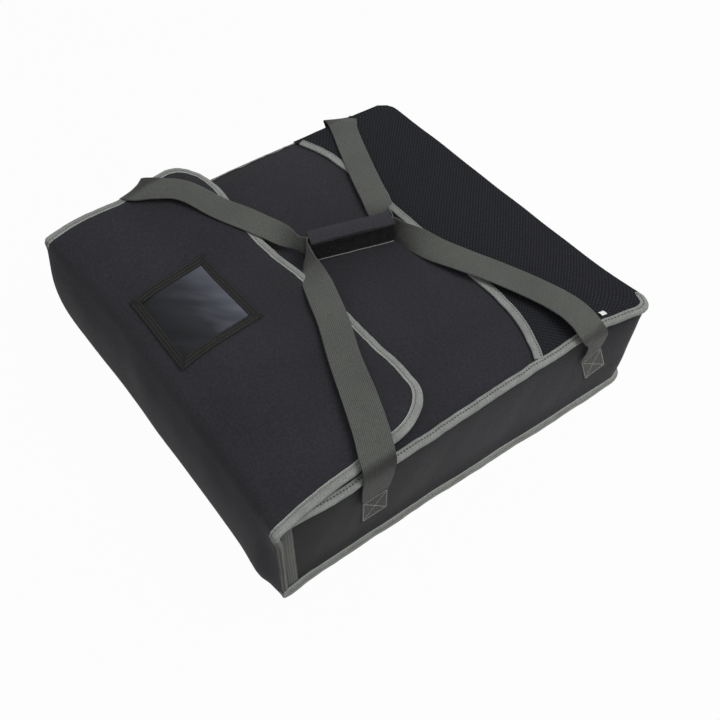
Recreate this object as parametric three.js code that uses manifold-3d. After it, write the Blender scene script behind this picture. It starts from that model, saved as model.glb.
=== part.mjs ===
// A low square insulated carrier bag: foam-backed walls with bound seams, a front that opens down,
// a flap that folds over the top, a mesh pocket, a card holder and two webbing handles with a grip.
// Millimetres, +Z up. The open front faces -Y, and the origin is under the middle of the bag.
import * as THREE from "three";
import { mergeVertices } from "three/addons/utils/BufferGeometryUtils.js";
import Module from "manifold-3d";

const wasm = await Module();
wasm.setup();

// Driving sizes of the bag
const wallSpan = 490;
const wallDepth = 510;
const bodyHeight = 139;
const cornerRadius = 16;

// Layers of a wall, from the outside in, and the space left between pieces that touch
const fabric = 1;
const foam = 5;
const lining = 1;
const clearance = 0.3;

// Bound seams: the cloth that stands out of a seam and the tape folded round it
const seamAllowance = 8;
const tape = 0.8;
const tapeLeg = 11;
const baseSeamHeight = 4;

// The front, which bows outwards, and the flap that goes on from it over the top
const hingeHeight = 3;
const frontGap = 2.6;
const bowRadius = 250;
const shoulderRadius = 14;
const frontOverhang = 6;
const flapTaper = 7;
const flapReach = 209;
const flapCornerRadius = 58;

// Card holder on the flap
const cardWidth = 124;
const cardDepth = 112;
const cardX = -52;
const cardInset = 79;
const ribbonWidth = 12;
const ribbon = 0.9;
const vinyl = 0.5;

// Mesh pocket: how deep it is in the middle, and how far the ends of its mouth come forwards
const pocketDepth = 123;
const pocketDrop = 29;
const mesh = 0.8;

// Webbing handles and their sewn ends. The back ends lean forwards on their way up.
const webbing = 1.6;
const webbingWidth = 38;
const gatheredWidth = 30;
const anchorFrontInset = 121;
const anchorBackInset = 54;
const anchorLow = 42;
const anchorHigh = 91;
const backLean = THREE.MathUtils.degToRad(19);
const handleLift = 5;
const twistLength = 70;
const handleBend = 10;

// Grip that holds both handles, its middle set by the bag's middle and the flap's free edge
const gripLength = 110;
const gripWidth = 20;
const gripX = -41;
const gripFromFlap = 84;
const gripTurn = THREE.MathUtils.degToRad(-16);
const gripSkin = 1.2;
const gripPad = 4.6;
const gripLip = 8;
const loopPile = 1;
const hookPile = 0.8;

// Strips of hook and loop between the flap and the top
const stripLength = 90;
const stripWidth = 25;
const stripSideInset = 95;
const stripEdgeInset = 30;

// Blank tag sewn into the seam beside the pocket
const tagLength = 14;
const tagWidth = 9;
const tag = 0.4;
const tagInset = 43;

// Steps in a quarter turn and between two stops of a handle, and how far a cutting shape runs past its piece
const arcSteps = 16;
const strapSteps = 5;
const twistStops = 3;
const overrun = 20;

// Sizes that follow
const halfSpan = wallSpan / 2;
const halfDepth = wallDepth / 2;
const wall = fabric + foam + lining + 2 * clearance;
const tapeReach = clearance + tape;
const foamFace = fabric + clearance;
const liningFace = foamFace + foam + clearance;
const innerFit = wall + clearance;
const rimReach = seamAllowance + tapeReach;
const frontWidth = wallSpan + 2 * frontOverhang;
const flapEndWidth = frontWidth - 2 * flapTaper;
const flapEdgeY = flapReach - halfDepth;
const cardY = cardInset - halfDepth;
const stripX = halfSpan - stripSideInset;
const stripY = flapEdgeY - stripEdgeInset;
const pocketMouthY = halfDepth - pocketDepth;
const anchorFrontY = anchorFrontInset - halfDepth;
const anchorBackY = halfDepth - anchorBackInset;
const anchorMiddle = (anchorLow + anchorHigh) / 2;
const tagY = halfDepth - tagInset;
const gripY = flapEdgeY + gripFromFlap;

// Heights, from the ground up
const floorFoamLow = fabric + clearance;
const floorFoamHigh = floorFoamLow + foam;
const floorLiningLow = floorFoamHigh + clearance;
const floorLiningHigh = floorLiningLow + lining;
const wallLow = baseSeamHeight + clearance;
const topFabricLow = bodyHeight - fabric;
const wallHigh = topFabricLow - clearance;
const topFoamHigh = topFabricLow - clearance;
const topFoamLow = topFoamHigh - foam;
const topLiningHigh = topFoamLow - clearance;
const topLiningLow = topLiningHigh - lining;
const meshLow = bodyHeight + tapeReach + clearance;
const meshHigh = meshLow + mesh;
const rimLow = wallHigh - fabric - tapeReach;
const rimHigh = meshHigh + tapeReach;
const flapLow = rimHigh + clearance + tapeReach;
const flapHigh = flapLow + wall;
const flapTapeHigh = flapHigh + tapeReach;
const strip = (flapLow - bodyHeight - 3 * clearance) / 2;

// Finishes
const black = { color: 0x2f2e33, roughness: 0.9, metalness: 0 };
const foamWhite = { color: 0xd9dadb, roughness: 0.95, metalness: 0 };
const silver = { color: 0xb4b7ba, roughness: 0.45, metalness: 0.6 };
const tapeGrey = { color: 0x6c6f69, roughness: 0.85, metalness: 0 };
const strapGrey = { color: 0x575a54, roughness: 0.85, metalness: 0 };
const meshBlack = { color: 0x26272b, roughness: 0.9, metalness: 0 };
const pileBlack = { color: 0x18191b, roughness: 1, metalness: 0 };
const clear = { color: 0x8d929c, roughness: 0.1, metalness: 0, transparent: true, opacity: 0.35 };
const olive = { color: 0x33332d, roughness: 0.85, metalness: 0 };
const tagWhite = { color: 0xdcdcdc, roughness: 0.8, metalness: 0 };

const bag = new THREE.Group();
const body = new THREE.Group();
bag.add(body);

function place(name, geometry, finish, parent = body) {
  const piece = new THREE.Mesh(geometry, new THREE.MeshStandardMaterial(finish));
  piece.name = name;
  parent.add(piece);
}

// Joining and cutting

function solid(geometry) {
  const bare = geometry.clone();
  bare.deleteAttribute("normal");
  bare.deleteAttribute("uv");
  const merged = mergeVertices(bare);
  const vertProperties = new Float32Array(merged.attributes.position.array);
  const triVerts = new Uint32Array(merged.index.array);
  return new wasm.Manifold(new wasm.Mesh({ numProp: 3, vertProperties, triVerts }));
}

function geometryOf(manifold) {
  const result = manifold.getMesh();
  const geometry = new THREE.BufferGeometry();
  geometry.setAttribute("position", new THREE.BufferAttribute(result.vertProperties, 3));
  geometry.setIndex(new THREE.BufferAttribute(result.triVerts, 1));
  return geometry;
}

function join(...geometries) {
  return geometryOf(geometries.map(solid).reduce((whole, piece) => whole.add(piece)));
}

function common(first, second) {
  return geometryOf(solid(first).intersect(solid(second)));
}

// Outlines. Each line is walked with the outside of the bag on its left.

function point(x, y) {
  return new THREE.Vector2(x, y);
}

function offsetLine(line, distance) {
  const last = line.length - 1;
  return line.map((here, i) => {
    const from = line[Math.max(i - 1, 0)];
    const to = line[Math.min(i + 1, last)];
    const arriving = (i > 0 ? here.clone().sub(from) : to.clone().sub(here)).normalize();
    const leaving = (i < last ? to.clone().sub(here) : here.clone().sub(from)).normalize();
    const along = arriving.clone().add(leaving).normalize();
    const reach = distance / along.dot(arriving);
    return point(here.x - along.y * reach, here.y + along.x * reach);
  });
}

// The strip between two offsets of a line, both counted outwards
function layer(line, outer, inner) {
  return new THREE.Shape([...offsetLine(line, outer), ...offsetLine(line, inner).reverse()]);
}

function arc(x, y, radius, from, to) {
  const steps = Math.max(2, Math.round((arcSteps * Math.abs(to - from)) / (Math.PI / 2)));
  return Array.from({ length: steps + 1 }, (_, i) => {
    const angle = from + ((to - from) * i) / steps;
    return point(x + radius * Math.cos(angle), y + radius * Math.sin(angle));
  });
}

function rectangle(left, right, front, back) {
  return new THREE.Shape([point(left, front), point(right, front), point(right, back), point(left, back)]);
}

// Raises a plan outline between two heights
function upright(shape, low, high) {
  const geometry = new THREE.ExtrudeGeometry(shape, { depth: high - low, bevelEnabled: false });
  return geometry.translate(0, 0, low);
}

// Runs a section drawn in Y and Z from one X to another
function across(shape, left, right) {
  const turn = new THREE.Matrix4().makeBasis(
    new THREE.Vector3(0, 1, 0),
    new THREE.Vector3(0, 0, 1),
    new THREE.Vector3(1, 0, 0),
  );
  const geometry = new THREE.ExtrudeGeometry(shape, { depth: right - left, bevelEnabled: false });
  return geometry.applyMatrix4(turn).translate(left, 0, 0);
}

function box(left, right, front, back, low, high) {
  return upright(rectangle(left, right, front, back), low, high);
}

// The walls' outer face in plan: along the left side, the back and the right side
const wallLine = [
  point(-halfSpan, -halfDepth),
  ...arc(-halfSpan + cornerRadius, halfDepth - cornerRadius, cornerRadius, Math.PI, Math.PI / 2),
  ...arc(halfSpan - cornerRadius, halfDepth - cornerRadius, cornerRadius, Math.PI / 2, 0),
  point(halfSpan, -halfDepth),
];

// A panel that fills the walls' outline, grown outwards, up to its own front edge
function panel(grow, frontEdge) {
  const line = offsetLine(wallLine, grow);
  line[0].y = frontEdge;
  line[line.length - 1].y = frontEdge;
  return new THREE.Shape(line);
}

// The front and the flap: one line in Y and Z, split at the fold where the flap turns over the top
const frontY = -halfDepth - tapeReach - frontGap - wall - tapeReach;
const bowAngle = Math.asin((flapHigh - hingeHeight - shoulderRadius) / (2 * bowRadius - shoulderRadius));
const bowY = frontY + bowRadius * Math.cos(bowAngle);
const bowZ = hingeHeight + bowRadius * Math.sin(bowAngle);
const shoulderY = bowY - (bowRadius - shoulderRadius) * Math.cos(bowAngle);
const shoulderZ = bowZ + (bowRadius - shoulderRadius) * Math.sin(bowAngle);
const foldAngle = (bowAngle + Math.PI / 2) / 2;
const foldGap = clearance / (shoulderRadius - wall - tapeReach) / 2;
const foldY = shoulderY - shoulderRadius * Math.cos(foldAngle);
const foldZ = shoulderZ + shoulderRadius * Math.sin(foldAngle);

function frontLine(grow) {
  return [
    ...arc(bowY, bowZ, bowRadius + grow, Math.PI + bowAngle, Math.PI - bowAngle).slice(0, -1),
    ...arc(shoulderY, shoulderZ, shoulderRadius + grow, Math.PI - bowAngle, Math.PI - foldAngle + foldGap),
  ];
}

function flapLine(grow) {
  return [
    ...arc(shoulderY, shoulderZ, shoulderRadius + grow, Math.PI - foldAngle - foldGap, Math.PI / 2),
    point(flapEdgeY + overrun, flapHigh + grow),
  ];
}

// The strip between two of those lines, both counted outwards from the outer face
function band(line, outer, inner) {
  return new THREE.Shape([...line(outer), ...line(inner).reverse()]);
}

// The flap in plan: a little narrower at its free edge, with round corners
const flapOutline = [
  point(-frontWidth / 2, frontY - overrun),
  point(-frontWidth / 2, shoulderY),
  ...arc(
    -flapEndWidth / 2 + flapCornerRadius,
    flapEdgeY - flapCornerRadius,
    flapCornerRadius,
    Math.PI,
    Math.PI / 2,
  ),
  ...arc(
    flapEndWidth / 2 - flapCornerRadius,
    flapEdgeY - flapCornerRadius,
    flapCornerRadius,
    Math.PI / 2,
    0,
  ),
  point(frontWidth / 2, shoulderY),
  point(frontWidth / 2, frontY - overrun),
];

// Body of the bag

function wallOuter() {
  const brim = layer(wallLine, seamAllowance, -fabric);
  return join(
    upright(layer(wallLine, 0, -fabric), wallLow, wallHigh),
    upright(brim, wallLow, wallLow + fabric),
    upright(brim, wallHigh - fabric, wallHigh),
  );
}

function wallFoam(line) {
  return upright(layer(line, -foamFace, -foamFace - foam), floorFoamLow, topFoamHigh);
}

function bottomOuter() {
  return join(
    upright(panel(0, frontY), 0, fabric),
    upright(layer(wallLine, 0, -fabric), 0, baseSeamHeight),
    upright(layer(wallLine, seamAllowance, -fabric), baseSeamHeight - fabric, baseSeamHeight),
  );
}

// Tape folded round the cloth of a seam that lies between two heights; its top leg may reach inwards
function seamTape(low, high, topLeg) {
  const fold = layer(wallLine, rimReach, rimReach - tape);
  return join(
    upright(layer(wallLine, rimReach, clearance), low - tapeReach, low - clearance),
    upright(layer(wallLine, rimReach, rimReach - topLeg), high + clearance, high + tapeReach),
    upright(fold, low - tapeReach, high + tapeReach),
  );
}

// Tape folded round the front edge of a side wall
function wallEdgeTape(side) {
  const outer = halfSpan + tapeReach;
  const inner = halfSpan - wall - tapeReach;
  const front = -halfDepth - tapeReach;
  const section = [
    point(outer, front),
    point(outer, front + tapeLeg),
    point(outer - tape, front + tapeLeg),
    point(outer - tape, front + tape),
    point(inner + tape, front + tape),
    point(inner + tape, front + tapeLeg),
    point(inner, front + tapeLeg),
    point(inner, front),
  ];
  const shape = new THREE.Shape(section.map((corner) => point(side * corner.x, corner.y)));
  return upright(shape, floorLiningHigh + clearance, topLiningLow - clearance);
}

// Tape folded round the front edge of the top panel
function topEdgeTape() {
  const half = halfSpan - wall - tapeReach - clearance;
  const front = -halfDepth - tapeReach;
  const low = topLiningLow - tapeReach;
  const high = bodyHeight + tapeReach;
  return join(
    box(-half, half, front, front + tape, low, high),
    box(-half, half, front, front + tapeLeg, high - tape, high),
    box(-half, half, front, front + tapeLeg, low, low + tape),
  );
}

function mouthY(x) {
  return pocketMouthY - pocketDrop * Math.abs(x / halfSpan) ** 4;
}

function mouthLine(reach) {
  const steps = 2 * arcSteps;
  return Array.from({ length: steps + 1 }, (_, i) => {
    const x = reach * ((2 * i) / steps - 1);
    return point(x, mouthY(x));
  });
}

function pocketMesh() {
  const back = halfDepth + overrun;
  const reach = halfSpan + overrun;
  const behindMouth = new THREE.Shape([...mouthLine(reach), point(reach, back), point(-reach, back)]);
  return common(
    upright(panel(seamAllowance, 0), meshLow, meshHigh),
    upright(behindMouth, meshLow - overrun, meshHigh + overrun),
  );
}

// Tape folded round the mouth of the pocket, between the two sides of the top seam's tape
function pocketTape() {
  const line = mouthLine(halfSpan + rimReach);
  const reach = halfSpan + rimReach - tapeLeg - clearance;
  const leg = layer(line, tapeLeg - tapeReach, -tapeReach);
  const folded = join(
    upright(leg, meshLow - tapeReach, meshLow - clearance),
    upright(leg, meshHigh + clearance, meshHigh + tapeReach),
    upright(layer(line, -clearance, -tapeReach), meshLow - tapeReach, meshHigh + tapeReach),
  );
  return common(folded, box(-reach, reach, 0, halfDepth, 0, flapHigh));
}

// Where the middle of a handle's end is at a height, in front (end -1) or behind (end 1)
function handleY(end, height) {
  return end < 0 ? anchorFrontY : anchorBackY - Math.tan(backLean) * (height - anchorMiddle);
}

function anchor(side, end) {
  const near = side * (halfSpan + clearance);
  const far = side * (halfSpan + clearance + webbing);
  const lowY = handleY(end, anchorLow);
  const highY = handleY(end, anchorHigh);
  const shape = new THREE.Shape([
    point(lowY - webbingWidth / 2, anchorLow),
    point(lowY + webbingWidth / 2, anchorLow),
    point(highY + webbingWidth / 2, anchorHigh),
    point(highY - webbingWidth / 2, anchorHigh),
  ]);
  return across(shape, Math.min(near, far), Math.max(near, far));
}

// The back foam wraps round both corners and meets the side boards just in front of them
const foamJoint = halfDepth - cornerRadius - foam;
const sideFoamBack = foamJoint - clearance;
const backFoamLine = [point(-halfSpan, foamJoint), ...wallLine.slice(1, -1), point(halfSpan, foamJoint)];

place("bottom_outer", bottomOuter(), black);
place("bottom_foam", upright(panel(-innerFit, -halfDepth), floorFoamLow, floorFoamHigh), foamWhite);
place("bottom_lining", upright(panel(-innerFit, -halfDepth), floorLiningLow, floorLiningHigh), silver);
place("wall_outer", wallOuter(), black);
place("wall_foam_right", wallFoam([point(halfSpan, sideFoamBack), point(halfSpan, -halfDepth)]), foamWhite);
place("wall_foam_back", wallFoam(backFoamLine), foamWhite);
place("wall_foam_left", wallFoam([point(-halfSpan, -halfDepth), point(-halfSpan, sideFoamBack)]), foamWhite);
place("wall_lining", upright(layer(wallLine, -liningFace, -wall), floorFoamLow, topFoamHigh), silver);
place("top_outer", upright(panel(seamAllowance, -halfDepth), topFabricLow, bodyHeight), black);
place("top_foam", upright(panel(-innerFit, -halfDepth), topFoamLow, topFoamHigh), foamWhite);
place("top_lining", upright(panel(-innerFit, -halfDepth), topLiningLow, topLiningHigh), silver);
place("rim_tape", seamTape(wallHigh - fabric, meshHigh, tapeLeg), tapeGrey);
place("base_tape", seamTape(baseSeamHeight - fabric, wallLow + fabric, rimReach - clearance), tapeGrey);
place("wall_edge_tape_right", wallEdgeTape(1), tapeGrey);
place("wall_edge_tape_left", wallEdgeTape(-1), tapeGrey);
place("top_edge_tape", topEdgeTape(), tapeGrey);
place("pocket_mesh", pocketMesh(), meshBlack);
place("pocket_tape", pocketTape(), tapeGrey);
place("anchor_right_front", anchor(1, -1), strapGrey);
place("anchor_right_back", anchor(1, 1), strapGrey);
place("anchor_left_front", anchor(-1, -1), strapGrey);
place("anchor_left_back", anchor(-1, 1), strapGrey);

const tagRight = halfSpan + rimReach - tapeLeg - clearance;
const tagLow = meshHigh + clearance;
place(
  "side_tag",
  box(tagRight - tagLength, tagRight, tagY - tagWidth / 2, tagY + tagWidth / 2, tagLow, tagLow + tag),
  tagWhite,
);

// Front panel

function frontLayer(outer, inner) {
  return across(band(frontLine, outer, inner), -frontWidth / 2, frontWidth / 2);
}

function frontTape(side) {
  const edge = (side * frontWidth) / 2;
  const foldNear = edge + side * clearance;
  const foldFar = edge + side * tapeReach;
  const legEnd = foldFar - side * tapeLeg;
  const between = (shape, one, other) => across(shape, Math.min(one, other), Math.max(one, other));
  return join(
    between(band(frontLine, tapeReach, clearance), foldFar, legEnd),
    between(band(frontLine, -wall - clearance, -wall - tapeReach), foldFar, legEnd),
    between(band(frontLine, tapeReach, -wall - tapeReach), foldFar, foldNear),
  );
}

place("front_outer", frontLayer(0, -fabric), black);
place("front_foam", frontLayer(-foamFace, -foamFace - foam), foamWhite);
place("front_lining", frontLayer(-liningFace, -wall), silver);
place("front_tape_right", frontTape(1), tapeGrey);
place("front_tape_left", frontTape(-1), tapeGrey);

// Flap

function cutToPlan(outer, inner, plan) {
  const sheet = across(band(flapLine, outer, inner), -halfSpan - overrun, halfSpan + overrun);
  return common(sheet, upright(plan, 0, flapHigh + overrun));
}

function flapTape() {
  const leg = layer(flapOutline, tapeReach, tapeReach - tapeLeg);
  const fold = layer(flapOutline, tapeReach, clearance);
  return join(
    cutToPlan(tapeReach, clearance, leg),
    cutToPlan(-wall - clearance, -wall - tapeReach, leg),
    cutToPlan(tapeReach, -wall - tapeReach, fold),
  );
}

const flapPlan = new THREE.Shape(flapOutline);
place("flap_outer", cutToPlan(0, -fabric, flapPlan), black);
place("flap_foam", cutToPlan(-foamFace, -foamFace - foam, flapPlan), foamWhite);
place("flap_lining", cutToPlan(-liningFace, -wall, flapPlan), silver);
place("flap_tape", flapTape(), tapeGrey);

for (const [name, side] of [["right", 1], ["left", -1]]) {
  const left = side * stripX - stripLength / 2;
  const right = side * stripX + stripLength / 2;
  const front = stripY - stripWidth / 2;
  const back = stripY + stripWidth / 2;
  const loopLow = bodyHeight + clearance;
  const hookLow = loopLow + strip + clearance;
  place(`loop_strip_${name}`, box(left, right, front, back, loopLow, loopLow + strip), pileBlack);
  place(`hook_strip_${name}`, box(left, right, front, back, hookLow, hookLow + strip), pileBlack);
}

// Card holder: a clear sheet held by a ribbon frame that is sewn round it

function cardSheet(grow, low, high) {
  const halfWidth = cardWidth / 2 + grow;
  const halfDeep = cardDepth / 2 + grow;
  return box(cardX - halfWidth, cardX + halfWidth, cardY - halfDeep, cardY + halfDeep, low, high);
}

const cardLow = flapHigh + clearance;
const frameLow = cardLow + vinyl + clearance;
const frameHigh = frameLow + ribbon;

function cardFrame() {
  const whole = cardSheet(0, frameLow, frameHigh);
  const hole = cardSheet(-ribbonWidth, frameLow - overrun, frameHigh + overrun);
  return geometryOf(solid(whole).subtract(solid(hole)));
}

place("card_window", cardSheet(-ribbonWidth / 2, cardLow, cardLow + vinyl), clear);
place("card_frame", cardFrame(), olive);

// Grip: a padded trough that is open at the top, with a cover that folds over it

const grip = new THREE.Group();
grip.position.set(gripX, gripY, 0);
grip.rotation.z = gripTurn;
body.add(grip);

const gripHalf = gripWidth / 2;
const gripLow = bodyHeight + clearance;
const troughLow = gripLow + gripSkin + clearance;
const troughHigh = troughLow + gatheredWidth + clearance;
const coverHigh = troughHigh + clearance + gripSkin;
const loopFar = gripHalf + clearance + loopPile;
const hookFar = loopFar + clearance + hookPile;
const coverFar = hookFar + clearance + gripSkin;
const lipLow = coverHigh - gripSkin - gripLip;

// Runs a section drawn across the grip, sideways and up, along its length
function alongGrip(corners) {
  const shape = new THREE.Shape(corners);
  const geometry = new THREE.ExtrudeGeometry(shape, { depth: gripLength, bevelEnabled: false });
  return geometry.rotateX(Math.PI / 2).translate(0, gripLength / 2, 0);
}

function gripBar(left, right, low, high) {
  return alongGrip([point(left, low), point(right, low), point(right, high), point(left, high)]);
}

function gripWrap() {
  const inner = gripHalf - gripSkin;
  return alongGrip([
    point(-gripHalf, gripLow),
    point(gripHalf, gripLow),
    point(gripHalf, troughHigh),
    point(inner, troughHigh),
    point(inner, gripLow + gripSkin),
    point(-inner, gripLow + gripSkin),
    point(-inner, troughHigh),
    point(-gripHalf, troughHigh),
  ]);
}

function gripCover() {
  return alongGrip([
    point(-gripHalf, coverHigh - gripSkin),
    point(coverFar - gripSkin, coverHigh - gripSkin),
    point(coverFar - gripSkin, lipLow),
    point(coverFar, lipLow),
    point(coverFar, coverHigh),
    point(-gripHalf, coverHigh),
  ]);
}

const padOuter = gripHalf - gripSkin - clearance;
place("grip_wrap", gripWrap(), black, grip);
place("grip_pad_front", gripBar(padOuter - gripPad, padOuter, troughLow, troughHigh), foamWhite, grip);
place("grip_pad_back", gripBar(-padOuter, gripPad - padOuter, troughLow, troughHigh), foamWhite, grip);
place("grip_loop", gripBar(gripHalf + clearance, loopFar, gripLow, troughHigh), pileBlack, grip);
place("grip_cover", gripCover(), black, grip);
place("grip_hook", gripBar(loopFar + clearance, hookFar, lipLow, coverHigh - gripSkin - clearance), pileBlack, grip);

// Handles: flat webbing from a sewn end, over the rim, to the grip, through it on edge and back.
// A stop on the way holds the place the webbing rests on, the direction across it where it lies flat,
// and how far it has turned on edge.

const zUp = new THREE.Vector3(0, 0, 1);
const handleBeside = clearance + webbing / 2;

function gathered(edgeShare) {
  return THREE.MathUtils.lerp(webbingWidth, gatheredWidth, edgeShare);
}

function gripPlace(sideways, lengthways, height) {
  return new THREE.Vector3(sideways, lengthways, 0).applyAxisAngle(zUp, gripTurn).add(
    new THREE.Vector3(gripX, gripY, height),
  );
}

// The stops of one end, from the sewn end to the middle of the grip. End is -1 in front, 1 behind.
function legStops(side, end) {
  const rest = (end < 0 ? flapTapeHigh : rimHigh) + 2 * clearance;
  const crest = rest + handleLift;
  const inGrip = troughLow + clearance;
  const mouth = (end * gripLength) / 2;
  const wallX = side * (halfSpan + clearance + webbing / 2);
  const rimX = side * (halfSpan + rimReach + clearance + webbing);
  const start = new THREE.Vector3(wallX, handleY(end, rest), rest);
  const bend = gripPlace(side * (handleBeside + handleBend), mouth + 2 * end * handleBend, rest);
  const length = start.distanceTo(bend);
  const run = bend.clone().sub(start).divideScalar(length);
  const flat = new THREE.Vector3(side * run.y, -side * run.x, 0);
  const alongWall = new THREE.Vector3(0, 1, 0);
  const onWall = (x, height) => (
    { at: new THREE.Vector3(x, handleY(end, height), height), across: alongWall, edgeShare: 0 }
  );
  const onRun = (toBend, height, edgeShare) => (
    { at: bend.clone().addScaledVector(run, -toBend).setZ(height), across: flat, edgeShare }
  );
  const inside = (lengthways) => (
    { at: gripPlace(side * handleBeside, lengthways, inGrip), across: flat, edgeShare: 1 }
  );
  return [
    onWall(wallX, anchorHigh + clearance),
    onWall((wallX + rimX) / 2, (anchorHigh + rimLow) / 2),
    onWall(rimX, rimLow - webbing),
    onWall(rimX, rimHigh + webbing),
    onWall(side * halfSpan, crest),
    onRun(length - webbingWidth, crest, 0),
    onRun(twistLength + webbingWidth, rest, 0),
    ...Array.from({ length: twistStops + 1 }, (_, i) => {
      const turnedShare = i / twistStops;
      return onRun(twistLength * (1 - turnedShare), rest, turnedShare);
    }),
    inside(mouth + end * handleBend / 2),
    inside(mouth),
    inside(mouth / 2),
  ];
}

// Skins the webbing's cross-sections into one closed strap
function strap(stops) {
  const path = new THREE.CatmullRomCurve3(stops.map((stop) => stop.at), false, "centripetal");
  const sections = strapSteps * (stops.length - 1);
  const rows = Array.from({ length: sections + 1 }, (_, i) => {
    const here = Math.min(Math.floor(i / strapSteps), stops.length - 2);
    const [before, after] = stops.slice(here, here + 2);
    const blendShare = i / strapSteps - here;
    const edgeShare = THREE.MathUtils.lerp(before.edgeShare, after.edgeShare, blendShare);
    const turn = (edgeShare * Math.PI) / 2;
    const halfWidth = gathered(edgeShare) / 2;
    const across = before.across.clone().lerp(after.across, blendShare).normalize();
    across.multiplyScalar(Math.cos(turn)).addScaledVector(zUp, Math.sin(turn));
    const centre = path.getPoint(i / sections);
    centre.z = THREE.MathUtils.lerp(before.at.z, after.at.z, blendShare);
    centre.z += halfWidth * Math.sin(turn) + (webbing / 2) * Math.cos(turn);
    return { centre, across, halfWidth };
  });
  const positions = rows.flatMap(({ centre, across, halfWidth }, i) => {
    const from = rows[Math.max(i - 1, 0)].centre;
    const to = rows[Math.min(i + 1, sections)].centre;
    const normal = to.clone().sub(from).cross(across).setLength(webbing / 2);
    return [[1, 1], [-1, 1], [-1, -1], [1, -1]].flatMap(([wide, thick]) => {
      return centre.clone().addScaledVector(across, wide * halfWidth).addScaledVector(normal, thick).toArray();
    });
  });
  const index = [0, 3, 2, 0, 2, 1];
  for (let i = 0; i < sections; i += 1) {
    for (let side = 0; side < 4; side += 1) {
      const here = 4 * i + side;
      const next = 4 * i + ((side + 1) % 4);
      index.push(next, next + 4, here + 4, next, here + 4, here);
    }
  }
  const end = 4 * sections;
  index.push(end, end + 1, end + 2, end, end + 2, end + 3);
  const geometry = new THREE.BufferGeometry();
  geometry.setAttribute("position", new THREE.Float32BufferAttribute(positions, 3));
  geometry.setIndex(index);
  return geometry;
}

for (const [name, side] of [["right", 1], ["left", -1]]) {
  const stops = [...legStops(side, -1), ...legStops(side, 1).reverse()];
  place(`handle_${name}`, strap(stops), strapGrey);
}

// The bag's middle, counted over everything from the tape on the front's bow to the back seam
const front = bowY - bowRadius - tapeReach;
const back = halfDepth + rimReach;
body.position.y = -(front + back) / 2;

export default bag;
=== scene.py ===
"""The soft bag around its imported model: padded panels, bound seams, net pocket, card holder, straps and grip.

Lengths are in millimetres in the bag's own frame, whose origin is under the middle of its walls, and each
mesh is moved and scaled into the model's frame as it is made. Only the camera, the floor and the lights are
in metres from the start.
"""

import math

import bpy
import numpy as np
from mathutils import Matrix, Vector


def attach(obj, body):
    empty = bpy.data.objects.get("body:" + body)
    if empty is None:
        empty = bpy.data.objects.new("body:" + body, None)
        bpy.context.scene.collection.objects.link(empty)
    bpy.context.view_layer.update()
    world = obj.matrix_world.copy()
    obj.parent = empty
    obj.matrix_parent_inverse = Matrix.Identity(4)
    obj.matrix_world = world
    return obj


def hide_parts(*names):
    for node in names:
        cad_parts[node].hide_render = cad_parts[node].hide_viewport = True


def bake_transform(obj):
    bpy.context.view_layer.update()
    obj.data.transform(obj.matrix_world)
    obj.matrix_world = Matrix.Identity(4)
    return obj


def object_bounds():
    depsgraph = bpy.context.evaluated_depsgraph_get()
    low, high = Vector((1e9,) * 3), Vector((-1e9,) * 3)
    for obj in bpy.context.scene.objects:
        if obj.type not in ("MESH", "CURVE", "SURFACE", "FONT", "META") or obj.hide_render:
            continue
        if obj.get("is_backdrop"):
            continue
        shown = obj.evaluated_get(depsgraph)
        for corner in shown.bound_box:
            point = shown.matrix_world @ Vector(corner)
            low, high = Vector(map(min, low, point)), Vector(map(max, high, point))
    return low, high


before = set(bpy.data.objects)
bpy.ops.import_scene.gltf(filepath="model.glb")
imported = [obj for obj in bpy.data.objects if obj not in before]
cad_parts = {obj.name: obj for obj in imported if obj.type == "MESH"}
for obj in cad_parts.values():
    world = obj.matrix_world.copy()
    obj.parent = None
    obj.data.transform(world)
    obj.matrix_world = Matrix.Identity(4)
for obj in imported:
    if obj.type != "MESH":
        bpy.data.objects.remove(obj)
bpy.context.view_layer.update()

METRES = 0.001
FORWARDS = (0.0, -1.0, 0.0)
UPWARDS = (0.0, 0.0, 1.0)
WHITE = (1.0, 1.0, 1.0)

# Sizes shared with the solids
wall_span = 490
wall_depth = 510
body_height = 139
corner_radius = 16
fabric = 1
foam = 5
lining = 1
clearance = 0.3
seam_allowance = 8
tape = 0.8
tape_leg = 11
base_seam_height = 4
hinge_height = 3
front_gap = 2.6
bow_radius = 250
shoulder_radius = 14
front_overhang = 6
flap_taper = 7
flap_reach = 209
flap_corner_radius = 58
card_width = 124
card_depth = 117
card_x = -56
card_inset = 72
card_slant = 11
ribbon_width = 12
pocket_depth = 123
pocket_drop = 29
webbing = 1.6
webbing_width = 38
gathered_width = 30
anchor_low = 42
anchor_high = 91
grip_length = 110
grip_width = 20
grip_x = -41
grip_from_flap = 84
grip_turn = math.radians(-16)

# Sizes that follow
half_span = wall_span / 2
half_depth = wall_depth / 2
wall = fabric + foam + lining + 2 * clearance
inset = wall + clearance
wall_top = body_height - fabric - clearance
tape_reach = clearance + tape
padding = fabric + clearance + foam
rim_reach = seam_allowance + tape_reach
flap_edge_y = flap_reach - half_depth
front_y = -half_depth - 2 * tape_reach - front_gap - wall
mesh_low = body_height + tape_reach + clearance
mesh_high = mesh_low + tape
rim_low = body_height - 2 * fabric - clearance - tape_reach
rim_high = mesh_high + tape_reach
flap_low = rim_high + clearance + tape_reach
flap_high = flap_low + wall
front_half = half_span + front_overhang
bow_angle = math.asin((flap_high - hinge_height - shoulder_radius) / (2 * bow_radius - shoulder_radius))
bow_y = front_y + bow_radius * math.cos(bow_angle)
bow_z = hinge_height + bow_radius * math.sin(bow_angle)
shoulder_y = bow_y - (bow_radius - shoulder_radius) * math.cos(bow_angle)
shoulder_z = bow_z + (bow_radius - shoulder_radius) * math.sin(bow_angle)
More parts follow.
